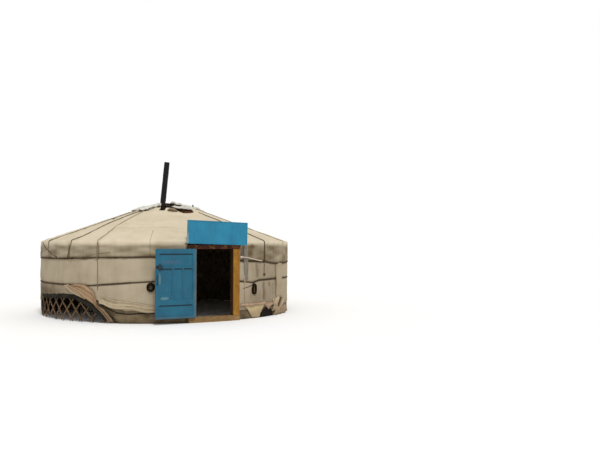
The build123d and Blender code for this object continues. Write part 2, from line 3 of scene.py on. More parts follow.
import bpy
import numpy as np
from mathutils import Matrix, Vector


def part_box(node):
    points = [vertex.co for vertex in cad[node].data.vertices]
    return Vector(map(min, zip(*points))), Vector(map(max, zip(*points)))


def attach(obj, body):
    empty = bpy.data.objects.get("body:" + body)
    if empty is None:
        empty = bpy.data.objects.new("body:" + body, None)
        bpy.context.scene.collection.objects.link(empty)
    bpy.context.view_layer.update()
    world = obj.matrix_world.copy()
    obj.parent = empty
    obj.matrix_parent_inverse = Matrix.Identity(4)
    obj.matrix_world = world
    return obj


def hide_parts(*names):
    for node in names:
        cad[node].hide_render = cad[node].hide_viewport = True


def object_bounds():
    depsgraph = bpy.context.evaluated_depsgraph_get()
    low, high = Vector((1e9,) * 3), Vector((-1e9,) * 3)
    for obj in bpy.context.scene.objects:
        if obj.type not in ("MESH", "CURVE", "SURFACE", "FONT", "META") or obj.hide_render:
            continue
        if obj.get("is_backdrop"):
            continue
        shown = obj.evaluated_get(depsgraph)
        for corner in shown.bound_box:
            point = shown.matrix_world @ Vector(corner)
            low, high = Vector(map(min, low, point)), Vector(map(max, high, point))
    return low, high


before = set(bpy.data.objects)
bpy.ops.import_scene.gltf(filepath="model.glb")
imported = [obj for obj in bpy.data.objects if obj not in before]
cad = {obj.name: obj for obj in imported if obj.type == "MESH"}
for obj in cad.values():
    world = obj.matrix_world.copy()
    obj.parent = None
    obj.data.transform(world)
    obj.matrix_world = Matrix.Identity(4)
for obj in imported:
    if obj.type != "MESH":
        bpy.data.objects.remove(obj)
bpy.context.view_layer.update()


# Wall lattice: five folding sections of flat willow laths in two layers, tied with hide
# where they cross. The wood is bare and has gone grey-brown with smoke and age.

def rgb(red, green, blue):
    """Colour as read off a surface in daylight, from 0 to 255, in the shader's own scale."""
    return tuple(v / 3294.6 if v <= 10.3 else ((v / 255 + 0.055) / 1.055) ** 2.4
                 for v in (red, green, blue)) + (1.0,)


class Wire:
    """One output of a finish's nodes, which takes part in sums."""

    def __init__(self, finish, socket):
        self.finish, self.socket = finish, socket

    def sum(self, operation, *values):
        return self.finish.node("ShaderNodeMath", {"operation": operation}, dict(enumerate(values)))

    def __add__(self, other):
        return self.sum("ADD", self, other)

    def __radd__(self, other):
        return self.sum("ADD", other, self)

    def __sub__(self, other):
        return self.sum("SUBTRACT", self, other)

    def __rsub__(self, other):
        return self.sum("SUBTRACT", other, self)

    def __mul__(self, other):
        return self.sum("MULTIPLY", self, other)

    def __rmul__(self, other):
        return self.sum("MULTIPLY", other, self)

    def __truediv__(self, other):
        return self.sum("DIVIDE", self, other)

    def __abs__(self):
        return self.sum("ABSOLUTE", self)

    def line(self, width):
        """1 within width of zero, with soft edges."""
        return abs(self).rise(width, width * 0.4)

    def rise(self, low, high):
        """0 below low, 1 above high and a soft step between; high may be the lower one."""
        return self.finish.node("ShaderNodeMapRange", {"interpolation_type": "SMOOTHSTEP"},
                                {"Value": self, "From Min": low, "From Max": high})


class Nodes:
    """The nodes of a material or of the sky."""

    def __init__(self, tree):
        self.tree = tree

    def node(self, kind, settings=None, values=None, output=0):
        made = self.tree.nodes.new(kind)
        for key, value in (settings or {}).items():
            setattr(made, key, value)
        for key, value in (values or {}).items():
            self.plug(made.inputs[key], value)
        return Wire(self, made.outputs[output])

    def plug(self, socket, value):
        if isinstance(value, Wire):
            self.tree.links.new(value.socket, socket)
        else:
            socket.default_value = value


class Finish(Nodes):
    """A material on one Principled shader, with the nodes that vary it."""

    def __init__(self, name, shine=0.12, **sockets):
        self.material = bpy.data.materials.new(name)
        self.material.use_nodes = True
        super().__init__(self.material.node_tree)
        self.shader = self.tree.nodes["Principled BSDF"]
        self.plug(self.shader.inputs["Specular IOR Level"], shine)
        self.drive(**sockets)
        self.place = self.node("ShaderNodeTexCoord", output="Object")

    def drive(self, **wires):
        for key, value in wires.items():
            self.plug(self.shader.inputs[key.replace("_", " ").title()], value)

    def mix(self, first, second, share):
        return self.node("ShaderNodeMix", {"data_type": "RGBA"}, {0: share, 6: first, 7: second}, 2)

    def scaled(self, vector, by):
        return self.node("ShaderNodeVectorMath", {"operation": "MULTIPLY"}, {0: vector, 1: by})

    def part(self, vector, axis):
        return self.node("ShaderNodeSeparateXYZ", values={0: vector}, output=axis)

    def bearing(self):
        """Angle from the door in degrees, and the distance from the yurt's axis."""
        x, y = self.part(self.place, 0), self.part(self.place, 1)
        turn = self.node("ShaderNodeMath", {"operation": "ARCTAN2"}, {0: x, 1: y * -1})
        flat = self.scaled(self.place, (1, 1, 0))
        reach = self.node("ShaderNodeVectorMath", {"operation": "LENGTH"}, {0: flat}, output="Value")
        return turn * (180 / math.pi), reach

    def mottle(self, size, detail=3.0, rough=0.55, vector=None, stretch=(1, 1, 1), twist=0.0):
        """Noise from 0 to 1 in blotches about size metres across."""
        where = self.scaled(vector or self.place, tuple(s / size for s in stretch))
        return self.node("ShaderNodeTexNoise", values={
            "Vector": where, "Scale": 1.0, "Detail": detail, "Roughness": rough, "Distortion": twist})

    def bump(self, height, depth):
        self.drive(normal=self.node("ShaderNodeBump", values={"Height": height, "Distance": depth}))


def wood(name, pale, dark, stretch, rough=0.8, worn=None, wear=0.6, shade=None):
    """Wood with grain along the axis whose stretch is small, rubbed through to worn in places.

    Shade gives the part of it that is darkened: soot by the stovepipe, and painted shade in the doorway's
    reveal.
    """
    finish = Finish(name, roughness=rough)
    grain = finish.mottle(0.012, 5, 0.65, stretch=stretch, twist=0.6)
    cloud = finish.mottle(0.35, 3, 0.6)
    colour = finish.mix(dark, pale, (grain * 0.7 + cloud * 0.5).rise(0.35, 0.85))
    height = grain
    if worn:
        rubbed = finish.mottle(0.09, 6, 0.7).rise(wear, wear + 0.08)
        colour = finish.mix(colour, worn, rubbed)
        height = grain - rubbed * 0.8
    if shade:
        # One dark colour for the shade: soot by the stovepipe, painted shade in the doorway's reveal.
        colour = finish.mix(colour, rgb(34, 26, 20), shade(finish) * 0.85)
    finish.drive(base_color=colour, roughness=rough - 0.15 * cloud)
    finish.bump(height, 0.002)
    return finish


def paint(finish, *names):
    """Gives CAD nodes their finish."""
    for name in names:
        for slot in cad[name].material_slots:
            slot.material = finish.material


def placed(name, data):
    """New object in the scene."""
    made = bpy.data.objects.new(name, data)
    bpy.context.scene.collection.objects.link(made)
    return made


def solid_from(name, vertices, faces, finish, uv=None, dirt_and_shade=None):
    """New piece from points and faces, with its flat cut, and its dirt and painted shade kept per point."""
    mesh = bpy.data.meshes.new(name)
    mesh.from_pydata(np.asarray(vertices).reshape(-1, 3).tolist(), [], faces)
    mesh.update()
    mesh.polygons.foreach_set("use_smooth", [True] * len(mesh.polygons))
    if uv is not None:
        loops = np.zeros(len(mesh.loops), np.int32)
        mesh.loops.foreach_get("vertex_index", loops)
        mesh.uv_layers.new(name="cut").data.foreach_set(
            "uv", np.asarray(uv, float).reshape(-1, 2)[loops].ravel())
    if dirt_and_shade is not None:
        mesh.attributes.new("dirt_and_shade", "FLOAT", "POINT").data.foreach_set("value", dirt_and_shade.ravel())
    mesh.materials.append(finish.material)
    piece = placed(name, mesh)
    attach(piece, "tent")
    return piece


lath_wood = wood("lath_wood", rgb(128, 104, 76), rgb(58, 42, 28), (0.3, 0.3, 0.3))
paint(lath_wood, *[f"khana_{i}" for i in range(1, 6)])

khana_deg, cell_deg, facet_deg, edge_deg = 67.5, 5.625, 11.25, 11.25
lath_mid_r, half_row, half_rows, foot_row_z = 3.03, 0.172, 9, 0.0842
tie_half, tie_deep = 0.007, 0.016


def facing(angle):
    """Directions out from the yurt's axis and along its wall, at an angle from the door."""
    a = math.radians(angle)
    return np.array([math.sin(a), -math.cos(a), 0]), np.array([math.cos(a), math.sin(a), 0])


hide = Finish("rawhide", roughness=0.7)
hide.drive(base_color=hide.mix(rgb(60, 44, 30), rgb(110, 84, 58), hide.mottle(0.02)))
knots, faces = [], []
up = np.array([0, 0, tie_half])
for khana in range(5):
    for column in range(25):
        for row in range(column % 2, half_rows + 1, 2):
            angle = edge_deg + khana_deg * khana + column * cell_deg / 2
            off = (angle / facet_deg % 1 - 0.5) * facet_deg
            chord = math.cos(math.radians(facet_deg / 2)) / math.cos(math.radians(off))
            out, across = facing(angle)
            centre = out * lath_mid_r * chord + np.array([0, 0, foot_row_z + half_row * row])
            first = len(knots)
            knots += [centre - out * tie_deep, centre - across * tie_half, centre - up,
                      centre + across * tie_half, centre + up, centre + out * tie_deep]
            for i in range(4):
                near, far = first + 1 + i, first + 1 + (i + 1) % 4
                faces += [[first, far, near], [first + 5, near, far]]
ties = solid_from("lattice_ties", knots, faces, hide)


# Doorway: two posts, a lintel and a sill, mortised together and tied to the lattice. The
# posts are varnished ochre, the lintel is dark red and the sill is scuffed bare.

def reveal_painted_shade(finish):
    """Painted shade on the posts, on the faces next to the opening."""
    return abs(finish.part(finish.place, 0)).rise(0.434, 0.426)


post_varnish = wood("post_varnish", rgb(176, 128, 50), rgb(116, 74, 26), (1, 1, 0.08), 0.6,
                    rgb(104, 82, 56), 0.62, shade=reveal_painted_shade)
paint(post_varnish, "door_post_left", "door_post_right")
# The lintel's dark red is made darker still, as painted shadow of the sign box above it.
lintel_shadowed_paint = wood("lintel_shadowed_paint", rgb(78, 38, 26), rgb(44, 28, 18), (0.08, 1, 1), 0.65,
                    rgb(112, 72, 40), 0.52)
paint(lintel_shadowed_paint, "door_lintel")
sill_wood = wood("sill_wood", rgb(156, 126, 84), rgb(98, 74, 46), (0.08, 1, 1), 0.85,
                 rgb(84, 68, 52), 0.64)
paint(sill_wood, "door_sill")


# Crown: a bent rim with spokes up to a hub, on two posts with T heads, all painted orange
# and worn. The roof poles run from the lattice to the rim. A green stub stands at the rim.

def pipe_soot(finish):
    """Where the rim and the poles are black from the pipe that stands over them."""
    return abs(finish.bearing()[0] + 31).rise(9, 5)


crown_paint = wood("crown_paint", rgb(94, 58, 28), rgb(46, 31, 20), (0.6, 0.6, 0.6), 0.65,
                   rgb(58, 44, 32), 0.5, shade=pipe_soot)
paint(crown_paint, "crown_rim", "crown_spokes", "crown_post_left", "crown_post_right")
pole_paint = wood("pole_paint", rgb(104, 65, 36), rgb(64, 42, 27), (0.5, 0.5, 0.5), 0.6,
                  rgb(96, 76, 54), 0.6, shade=pipe_soot)
paint(pole_paint, "roof_poles")
stake_paint = wood("stake_paint", rgb(70, 88, 66), rgb(34, 46, 38), (1, 1, 0.1), 0.75,
                   rgb(96, 88, 70), 0.6)
paint(stake_paint, "crown_peg")


# Wall felts: pressed wool about 2 cm thick in five lengths, laid against the lattice and
# pulled in by the ropes. The foot is lifted on the left to let air in.

felt_in_r, felt_out_r, girth_r = 3.0445, 3.0605, 3.06
fork_z, wall_top_z = 1.6571, 1.69
felt_feet = [(11, 0), (256, 0), (274, 0.344), (304, 0.344), (323, 0), (349, 0)]


def line_z(points, angles):
    """Height of a line round the wall at angles from the door."""
    at, share = zip(*points)
    return np.interp(np.asarray(angles) % 360, at, share) * fork_z


def round_wall(angles, radii, heights):
    """Points at angles from the door, distances from the axis and heights."""
    a = np.radians(angles)
    return np.stack(np.broadcast_arrays(radii * np.sin(a), -radii * np.cos(a), heights), axis=-1)


def spread(first, last, columns, rows):
    """Angles from first to last and shares from foot to top, for the points of a sheet."""
    return np.linspace(first, last, columns)[None, :], np.linspace(0, 1, rows)[:, None]


def ripples(along, up, seed, longest, shortest, lean=math.pi, count=14):
    """Uneven waves about 1 high. A small lean keeps their crests upright."""
    rng = np.random.default_rng(seed)
    total = np.zeros(np.broadcast(along, up).shape)
    for _ in range(count):
        length = math.exp(rng.uniform(math.log(shortest), math.log(longest)))
        turn, phase = rng.uniform(-lean, lean), rng.uniform(0, 2 * math.pi)
        wave = np.sin(2 * math.pi * (along * math.cos(turn) + up * math.sin(turn)) / length + phase)
        total += (length / longest) ** 0.6 * wave
    return total / math.sqrt(count / 2)


def hump(x, middle, width):
    return np.exp(-((x - middle) / width) ** 2)


def outward(grid):
    """Normals of a grid of points."""
    across, up = np.gradient(grid, axis=1), np.gradient(grid, axis=0)
    normal = np.cross(across, up)
    return normal / np.maximum(np.linalg.norm(normal, axis=-1, keepdims=True), 1e-12)


def run(path):
    """Distance along a line of points to each of them."""
    return np.concatenate([[0], np.cumsum(np.linalg.norm(np.diff(path, axis=0), axis=-1))])


def flat_size(grid):
    """Width, length and area of the cloth as it was cut."""
    width = np.linalg.norm(np.diff(grid, axis=1), axis=-1).sum(axis=1).max()
    length = np.linalg.norm(np.diff(grid, axis=0), axis=-1).sum(axis=0).max()
    cross = np.linalg.norm(np.cross(np.diff(grid[:-1], axis=1), np.diff(grid[:, :-1], axis=0)), axis=-1)
    return (float(width), float(length)), float(cross.sum())


def cloth(name, grid, thick, finish, node=None, dirt_and_shade=0.0, held=None, on=()):
    """Closed sheet whose outer face is the grid, with the flat cut in metres as its UV map."""
    rows, columns = grid.shape[:2]
    inner = grid - outward(grid) * thick
    cut = np.stack(np.meshgrid(run(grid[rows // 2]), run(grid[:, columns // 2])), axis=-1)
    index = np.arange(rows * columns).reshape(rows, columns)
    a, b, c, d = index[:-1, :-1], index[:-1, 1:], index[1:, 1:], index[1:, :-1]
    front = np.stack([a, b, c, d], axis=-1).reshape(-1, 4)
    back = front[:, ::-1] + rows * columns
    rim = np.concatenate([index[0, ::-1], index[1:, 0], index[-1, 1:], index[-2:0:-1, -1]])
    after = np.roll(rim, -1)
    sides = np.stack([rim, after, after + rows * columns, rim + rows * columns], axis=-1)
    piece = solid_from(name, np.concatenate([grid.reshape(-1, 3), inner.reshape(-1, 3)]),
                       np.concatenate([front, back, sides]).tolist(), finish,
                       np.concatenate([cut.reshape(-1, 2)] * 2),
                       dirt_and_shade=np.concatenate([np.broadcast_to(dirt_and_shade, (rows, columns))] * 2))
    if node:
        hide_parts(node)
    if held:
        size, area = flat_size(grid)
    return piece


def felt(name, colour, stain):
    finish = Finish(name, roughness=0.98)
    wool, cloud = finish.mottle(0.02, 6, 0.75), finish.mottle(0.3, 4, 0.6)
    finish.drive(base_color=finish.mix(colour, stain, (wool * 0.5 + cloud * 0.7).rise(0.45, 0.8)))
    finish.bump(wool, 0.006)
    return finish


wall_wool = felt("wall_wool", rgb(124, 108, 84), rgb(78, 66, 48))
for i in range(5):
    start = edge_deg + khana_deg * i
    angles, share = spread(start, start + khana_deg, 61, 24)
    foot = line_z(felt_feet, angles) + 0.001
    heights = foot + (wall_top_z - foot) * share
    radii = felt_out_r + 0.0012 * ripples(np.radians(angles) * girth_r, heights, 11 + i, 0.5, 0.08)
    radii = radii - 0.006 * hump(share, 0, 0.02)
    piece = cloth(f"felt_wall_{i + 1}", round_wall(angles, radii, heights), felt_out_r - felt_in_r,
                  wall_wool, f"wall_felt_{i + 1}")


# Roof felts: two half rounds of thicker felt over the poles, cut back at the crown. They
# stop at the eave, where the canvas turns down over their bevelled edge.

roof_fall, slope_run = 0.36, 1.0628
pole_lift, pole_half, roof_felt, seat_gap, canvas_high = 0.0042, 0.0297, 0.04, 0.0003, 0.0043
pole_end_r = 3.0268
canvas_top_z = (fork_z + pole_lift + 2 * pole_half * slope_run + seat_gap
                + roof_felt * slope_run + seat_gap + canvas_high)
felt_edge_r, felt_under, roof_wool_thick = 0.716, 0.022, 0.024


def roof_z(radius):
    """Top of the roof canvas before its folds."""
    return canvas_top_z + roof_fall * (pole_end_r - np.asarray(radius))


def from_door(angles):
    """Angles from -180 to 180, with the door at 0."""
    return (np.asarray(angles) + 180) % 360 - 180


def bared(angles):
    """How far the covers stop short of the rim: at the stovepipe's foot, and above the door."""
    return np.interp(from_door(angles), [-35, -34, -25.5, -24.5, -18, -12, -8, -5, -1, 8, 18, 27],
                     [0, 0.24, 0.26, 0.02, 0.03, 0.1, 0.26, 0.38, 0.45, 0.42, 0.3, 0])


roof_wool = felt("roof_wool", rgb(136, 124, 104), rgb(92, 80, 64))
for name, start in (("front", -90), ("back", 90)):
    angles, share = spread(start, start + 180, 241, 16)
    radii = lath_mid_r + (felt_edge_r + bared(angles) - lath_mid_r) * share
    wave = 0.002 * ripples(np.radians(angles) * radii, radii, 31, 0.5, 0.1)
    piece = cloth(f"felt_roof_{name}", round_wall(angles, radii, roof_z(radii) - felt_under + wave),
                  roof_wool_thick, roof_wool, f"roof_felt_{name}")


# Wall canvas: cotton sheets over the felts, from under the roof flap almost to the ground.
# Ropes pull it in, it bellies between them, and its foot is lifted and folded on the left.

canvas_r, cotton_thick = 3.071, 0.0035
rope_lines = {
    "upper": [(11, 0.79), (16.3, 0.785), (26, 0.774), (34.5, 0.742), (45, 0.74), (100, 0.8),
              (180, 0.845), (292, 0.822), (315, 0.839), (335, 0.847), (349, 0.848)],
    "middle": [(11, 0.517), (19, 0.488), (23, 0.515), (36, 0.521), (100, 0.5), (250, 0.49),
               (309, 0.477), (326, 0.517), (337, 0.538), (349, 0.54)]}
canvas_hems = [(11, 0.12), (30, 0.145), (250, 0.133), (272, 0.329), (280, 0.333), (288, 0.343),
               (299, 0.362), (303, 0.338), (306, 0.328), (315, 0.284),
               (325, 0.157), (338, 0.181), (349, 0.145)]


def canvas(name, colour, stain, dark, seams=()):
    """Cotton with a plain weave, faded in clouds, streaked downwards and browner at its foot.

    Its darkening per point holds stains, painted shade in its creases and folds, and darker bands under the
    ropes. A seam runs from one angle and radius to another, across the roof or round it.
    """
    finish = Finish(name, roughness=0.9)
    cut = finish.node("ShaderNodeUVMap", {"uv_map": "cut"})
    dirt_and_shade = finish.node("ShaderNodeAttribute", {"attribute_name": "dirt_and_shade"}, output="Fac")
    cloud = finish.mottle(0.6, 4, 0.6)
    streak = finish.mottle(0.16, 4, 0.6, stretch=(1, 1, 0.15))
    thread = finish.mottle(0.006, 2, 0.5, vector=cut, stretch=(1, 0.15, 1))
    cross = finish.mottle(0.006, 2, 0.5, vector=cut, stretch=(0.15, 1, 1))
    splash = (finish.part(finish.place, 2) + 0.3 * cloud).rise(0.62, 0.2)
    base = finish.mix(colour, stain, (cloud * 0.8 + streak * 0.3).rise(0.4, 0.85))
    base = finish.mix(base, rgb(132, 112, 88), splash * 0.6)
    base = finish.mix(base, dark, (dirt_and_shade * (0.8 + 0.4 * streak)).rise(0.0, 1.1))
    turn, reach = finish.bearing()
    sewn = None
    for angle, inner, angle_out, outer in seams:
        if inner == outer:
            along, start, stop, across = turn, angle, angle_out, reach - inner
        else:
            lean = (angle_out - angle) / (outer - inner)
            along, start, stop = reach, inner, outer
            across = (turn - angle - (reach - inner) * lean) * (math.pi / 180) * reach
        soft = 0.02 * (stop - start)
        mark = across.line(0.009) * along.rise(start, start + soft) * along.rise(stop, stop - soft)
        sewn = mark if sewn is None else sewn + mark
    height = thread * 0.5 + cross * 0.5
    if sewn:
        base = finish.mix(base, dark, sewn * (0.2 + 0.6 * cloud))
        height = height - sewn * 2
    finish.drive(base_color=base, roughness=0.95 - 0.1 * cloud)
    finish.bump(height, 0.0012)
    return finish


def near_rope(points, angles, heights, reach=0.03):
    """1 under a rope round the wall, fading out above and below it."""
    return hump(heights - line_z(points, angles), 0, reach)


def fading(far, whole, within):
    """0 at both ends of a length, and 1 from so far within them."""
    return np.clip(np.minimum(far, whole - far) / within, 0, 1)


def creases(lines, angles, heights):
    """Creases that run down the cloth: their angles and heights at both ends, width and depth."""
    total = 0
    for top, foot, high, low, width, depth in lines:
        a = np.interp(heights, [low, high], [foot, top]) + 0.15 * np.sin(heights * 23 + top)
        ends = fading(heights - low, high - low, 0.06)
        total = total + depth * ends * hump(from_door(angles), a, width)
    return total


def blots(places, angles, heights):
    """Darkening in soft blots: how dark, then the angle and height of the middle, half width and height."""
    return sum(dark * hump(from_door(angles), turn, wide) * hump(heights, z, tall)
               for dark, turn, z, wide, tall in places)


# Blots on the wall canvas: stains on the left and right, and painted shade on the canvas behind the two
# coils of rope.
wall_stains_and_shade = [(0.85, -84, 0.62, 26, 0.2), (0.16, 20, 0.5, 9, 0.14), (1.5, -25.3, 0.766, 0.9, 0.07),
               (1.5, 19.7, 0.66, 0.9, 0.07)]
wall_creases = [
    (21.4, 21.8, 1.27, 0.88, 0.9, 0.012), (26.1, 26.3, 0.84, 0.36, 0.8, 0.013),
    (30.0, 30.3, 0.84, 0.66, 0.8, 0.012), (35.8, 36.2, 1.24, 0.42, 0.8, 0.012),
    (18.5, 18.0, 0.72, 0.40, 0.9, 0.005), (33.0, 33.4, 0.80, 0.45, 1.0, 0.005),
    (-24.0, -24.4, 0.86, 0.42, 0.9, 0.003), (-56, -57, 1.33, 0.84, 1.4, 0.004),
    (-66.0, -67.0, 1.33, 0.7, 1.3, 0.005), (-75.0, -74.0, 1.33, 0.68, 1.2, 0.005)]


def belly(angles, heights):
    """Radius of the wall canvas: pulled in under each rope, with creases that run into it."""
    along = np.radians(angles) * girth_r
    free = 1 - sum(near_rope(points, angles, heights, 0.05) for points in rope_lines.values())
    under_flap = np.clip((heights - line_z(rope_lines["upper"], angles)) / 0.03, 0, 1)
    slack = hump(from_door(angles), 29, 16)
    swell = 0.004 + 0.004 * ripples(along, heights, 5, 0.9, 0.2) + 0.011 * slack
    for number, points in enumerate(rope_lines.values()):
        pinch = np.exp(-np.abs(heights - line_z(points, angles)) / 0.1)
        swell = swell + 0.005 * pinch * ripples(along, heights * 0.5, 50 + number, 0.4, 0.1, 0.8)
    swell = swell - creases(wall_creases, angles, heights)
    pulled = np.maximum(swell, -0.003) * free - 0.004 * (1 - free)
    return canvas_r + pulled * (1 - under_flap) - 0.005 * under_flap


def closer(first, last, fine_from, fine_to, fine=0.22, coarse=0.7):
    """Angles that lie closer together on the side that faces the camera."""
    edges = sorted({first, last, max(first, min(last, fine_from)), max(first, min(last, fine_to))})
    parts = [np.arange(a, b - 1e-6, fine if a >= fine_from and b <= fine_to else coarse)
             for a, b in zip(edges, edges[1:])]
    return np.concatenate(parts + [[last]])[None, :]


wall_cotton = canvas("wall_cotton", rgb(176, 163, 140), rgb(156, 142, 118), rgb(92, 76, 54))
for name, start, stop in (("right", 0, 2), ("back", 2, 3), ("left", 3, 5)):
    first, last = edge_deg + khana_deg * start, edge_deg + khana_deg * stop
    angles = closer(first, last, *((edge_deg, 50) if name == "right" else (282, 349)))
    share = np.linspace(0, 1, 76)[:, None]
    hem = line_z(canvas_hems, angles) + 0.008 * ripples(np.radians(angles) * 3, 0, 61, 0.7, 0.12)
    heights = hem + (wall_top_z - hem) * share
    grid = round_wall(angles, belly(angles, heights), heights)
    # Painted shade in the creases; the canvas is also made darker just under each rope, across the right of
    # the wall and in the blots listed above.
    dirt_and_shade = creases(wall_creases, angles, heights) / 0.036
    for points in rope_lines.values():
        dirt_and_shade = dirt_and_shade + 0.5 * near_rope(points, angles, heights - 0.01, 0.022)
    dirt_and_shade = dirt_and_shade + 0.42 * hump(from_door(angles), 29, 17) + blots(wall_stains_and_shade, angles, heights)
    cloth(f"canvas_wall_{name}", grid, cotton_thick, wall_cotton, f"wall_canvas_{name}",
          dirt_and_shade, "stretched", [f"wall_felt_{i + 1}" for i in range(start, stop)])


def drawn(points, count):
    """Angles and heights along a line of them, in as many steps from each point to the next."""
    steps = np.linspace(0, len(points) - 1, count)
    return [np.interp(steps, range(len(points)), values) for values in zip(*points)]


def laid_on_wall(name, upper, lower, ridges, depth, finish, seed, count=110, droop=0.0, side="left",
                 base=0.006, fold_shade=0.55, muddy=0.0):
    """Cloth in long folds on the wall, between two lines of angles and heights.

    Ridges are the folds: place across the cloth from lower to upper edge, height, width, slant.
    """
    a, b = np.array(drawn(upper, count)), np.array(drawn(lower, count))
    t, risen = spread(0, 1, count, 40)
    share = 1 - risen
    angles, heights = a[:, None] + (b - a)[:, None] * share
    far = t * 3
    up = risen + 0.05 * ripples(far, share * 0.2, seed, 1.6, 0.5)
    fold = sum(size * hump(up, place + slant * (t - 0.5), wide) for place, size, wide, slant in ridges)
    ends = fading(t, 1, 0.08)
    radii = canvas_r + base + depth * fold * (0.2 + 0.8 * ends) + droop * share ** 3
    radii = radii + 0.004 * ripples(far, share * 0.5, seed + 1, 0.4, 0.06)
    # Painted shade in the hollows between the folds and on each fold above its crest.
    dirt_and_shade = fold_shade * np.clip(0.8 - fold, 0, 1) + muddy * t
    dirt_and_shade = dirt_and_shade + 0.4 * np.clip(-np.gradient(fold, axis=0) * 5, 0, 1)
    cloth(name, round_wall(angles, radii, heights), 0.004, finish, None, dirt_and_shade,
          "folded", [f"wall_canvas_{side}"])


turned_cotton = canvas("turned_cotton", rgb(180, 150, 118), rgb(156, 126, 96), rgb(50, 40, 30))
laid_on_wall("turned_edge",
             [(-60.5, 0.80), (-56.5, 0.82), (-52.9, 0.81), (-49.1, 0.70), (-47.7, 0.54), (-46.9, 0.38),
              (-43.8, 0.30), (-40.5, 0.11), (-39.6, 0.04)],
             [(-60.8, 0.765), (-57.6, 0.685), (-54.6, 0.58), (-51.8, 0.49), (-49.0, 0.40), (-47.2, 0.32),
              (-45.2, 0.22), (-43.2, 0.10), (-42.6, 0.03)],
             [(0.18, 0.9, 0.14, 0.1), (0.5, 0.7, 0.13, 0.1), (0.85, 1.0, 0.16, -0.1)], 0.034,
             turned_cotton, 141, base=0.016, muddy=0.4)
strip_cotton = canvas("strip_cotton", rgb(184, 162, 134), rgb(150, 128, 102), rgb(48, 38, 28))
laid_on_wall("turned_strip",
             [(-62.4, 0.81), (-60.4, 0.775), (-58.3, 0.718), (-56.1, 0.644), (-54.2, 0.568), (-52.4, 0.51)],
             [(-65.0, 0.78), (-63.0, 0.71), (-61.0, 0.645), (-58.5, 0.60), (-55.6, 0.548), (-52.8, 0.50)],
             [(0.3, 0.8, 0.2, 0.05), (0.8, 0.9, 0.15, 0.1)], 0.022, strip_cotton, 146, droop=0.012,
             base=0.02)
hem_cotton = canvas("hem_cotton", rgb(192, 177, 148), rgb(168, 152, 124), rgb(66, 54, 40))
laid_on_wall("hem_folds",
             [(-47.3, 0.573), (-44.5, 0.55), (-42.2, 0.53), (-38.8, 0.505), (-35.8, 0.485), (-30, 0.44),
              (-24.3, 0.39), (-18, 0.36), (-12, 0.35)],
             [(-46.0, 0.425), (-43.6, 0.395), (-41.4, 0.345), (-38.6, 0.312), (-35, 0.305), (-30.5, 0.268),
              (-26.6, 0.228), (-20, 0.25), (-12, 0.24)],
             [(0.16, 1.3, 0.13, 0.1), (0.52, 1.0, 0.15, 0.2), (0.9, 0.5, 0.1, -0.1)], 0.03, hem_cotton, 151,
             count=160, droop=0.035)


def heading(path):
    """Direction of a line of points at each of them."""
    tangent = np.gradient(path, axis=0)
    return tangent / np.linalg.norm(tangent, axis=1, keepdims=True)


def tube(name, path, side, radii, turn, sides, round_it, finish, flatten=1.0):
    """Closed tube along a line of points, with the place round it and along it as its UV map."""
    over = np.cross(side, heading(path))
    ring = side[:, None] * np.cos(turn)[:, None] * flatten + over[:, None] * np.sin(turn)[:, None]
    n, last = len(turn), (len(path) - 1) * len(turn)
    faces = [[i * n + j, i * n + (j + 1) % n, (i + 1) * n + (j + 1) % n, (i + 1) * n + j]
             for i in range(len(path) - 1) for j in range(sides)]
    faces += [list(range(sides))[::-1], [last + j for j in range(sides)]]
    uv = np.stack(np.broadcast_arrays(round_it, run(path)[:, None]), axis=-1)
    piece = solid_from(name, path[:, None] + radii * ring, faces, finish, uv)
    return piece


roll_sides = 18


def roll(name, path, radius, finish, seed, flatten=1.0):
    """Cloth rolled up along a line of points, uneven along its length, closed at its ends."""
    side = np.cross(heading(path), (0, 0, 1.0))
    side /= np.linalg.norm(side, axis=1, keepdims=True)
    far = run(path)
    turn = np.linspace(0, 2 * np.pi, roll_sides, endpoint=False)
    swell = radius * (1 + 0.14 * ripples(far[:, None] + 0 * turn, turn * radius, seed, 0.25, 0.04))
    swell = swell * (0.35 + 0.65 * np.sqrt(fading(far, far[-1], 2 * radius)))[:, None]
    piece = tube(name, path, side, swell[..., None], turn, roll_sides, turn * radius, finish,
                 flatten)


# The first roll is the felt's own rolled edge, coloured near black as painted shade under the lifted hem;
# the second is a painted shadow line along the foot of the hem folds.
shadow_felt = felt("shadow_felt", rgb(46, 44, 36), rgb(22, 22, 18))
for name, radius, line in (
        ("felt_edge", 0.055, [(-88, 0.50), (-80, 0.515), (-72, 0.535), (-66, 0.555), (-60, 0.555),
                              (-57, 0.51), (-54.3, 0.455), (-51.5, 0.39), (-49, 0.315),
                              (-45.5, 0.18), (-42.6, 0.05)]),
        ("hem_shadow_line", 0.014, [(-46.5, 0.40), (-44, 0.345), (-42.1, 0.30), (-38.9, 0.228), (-34.2, 0.197),
                             (-29.7, 0.215), (-20, 0.22), (-12, 0.21)])):
    turns, heights = drawn(line, 120)
    roll(name, round_wall(turns, girth_r, heights), radius, shadow_felt, 79, flatten=0.45)

jamb_cotton = canvas("jamb_cotton", rgb(138, 130, 120), rgb(108, 100, 90), rgb(48, 42, 36))
laid_on_wall("jamb_strip", [(13.8, 1.64), (15, 1.64), (16.1, 1.64)],
             [(13.9, 0.885), (15, 0.89), (16.2, 0.88)], [(0.5, 0.6, 0.5, 0)], 0.008, jamb_cotton, 161,
             count=30, side="right", base=0.014, fold_shade=0.4)
pale_cotton = canvas("pale_cotton", rgb(170, 156, 132), rgb(146, 130, 106), rgb(76, 62, 46))
laid_on_wall("canvas_lap", [(36.4, 1.19), (38.4, 1.24), (43.4, 1.22)],
             [(36.8, 0.42), (39.5, 0.42), (43.4, 0.42)], [(0.3, 0.9, 0.3, 0), (0.8, 0.8, 0.3, 0)], 0.01,
             pale_cotton, 166, count=40, side="right", base=0.014, fold_shade=0.4)


# Ground skirt: a strip of old cotton against the wall's foot on the right of the door, with
# its upper edge rolled up. More loose cloth is crumpled beside it.

skirt_r, skirt_off = 3.08, 0.008


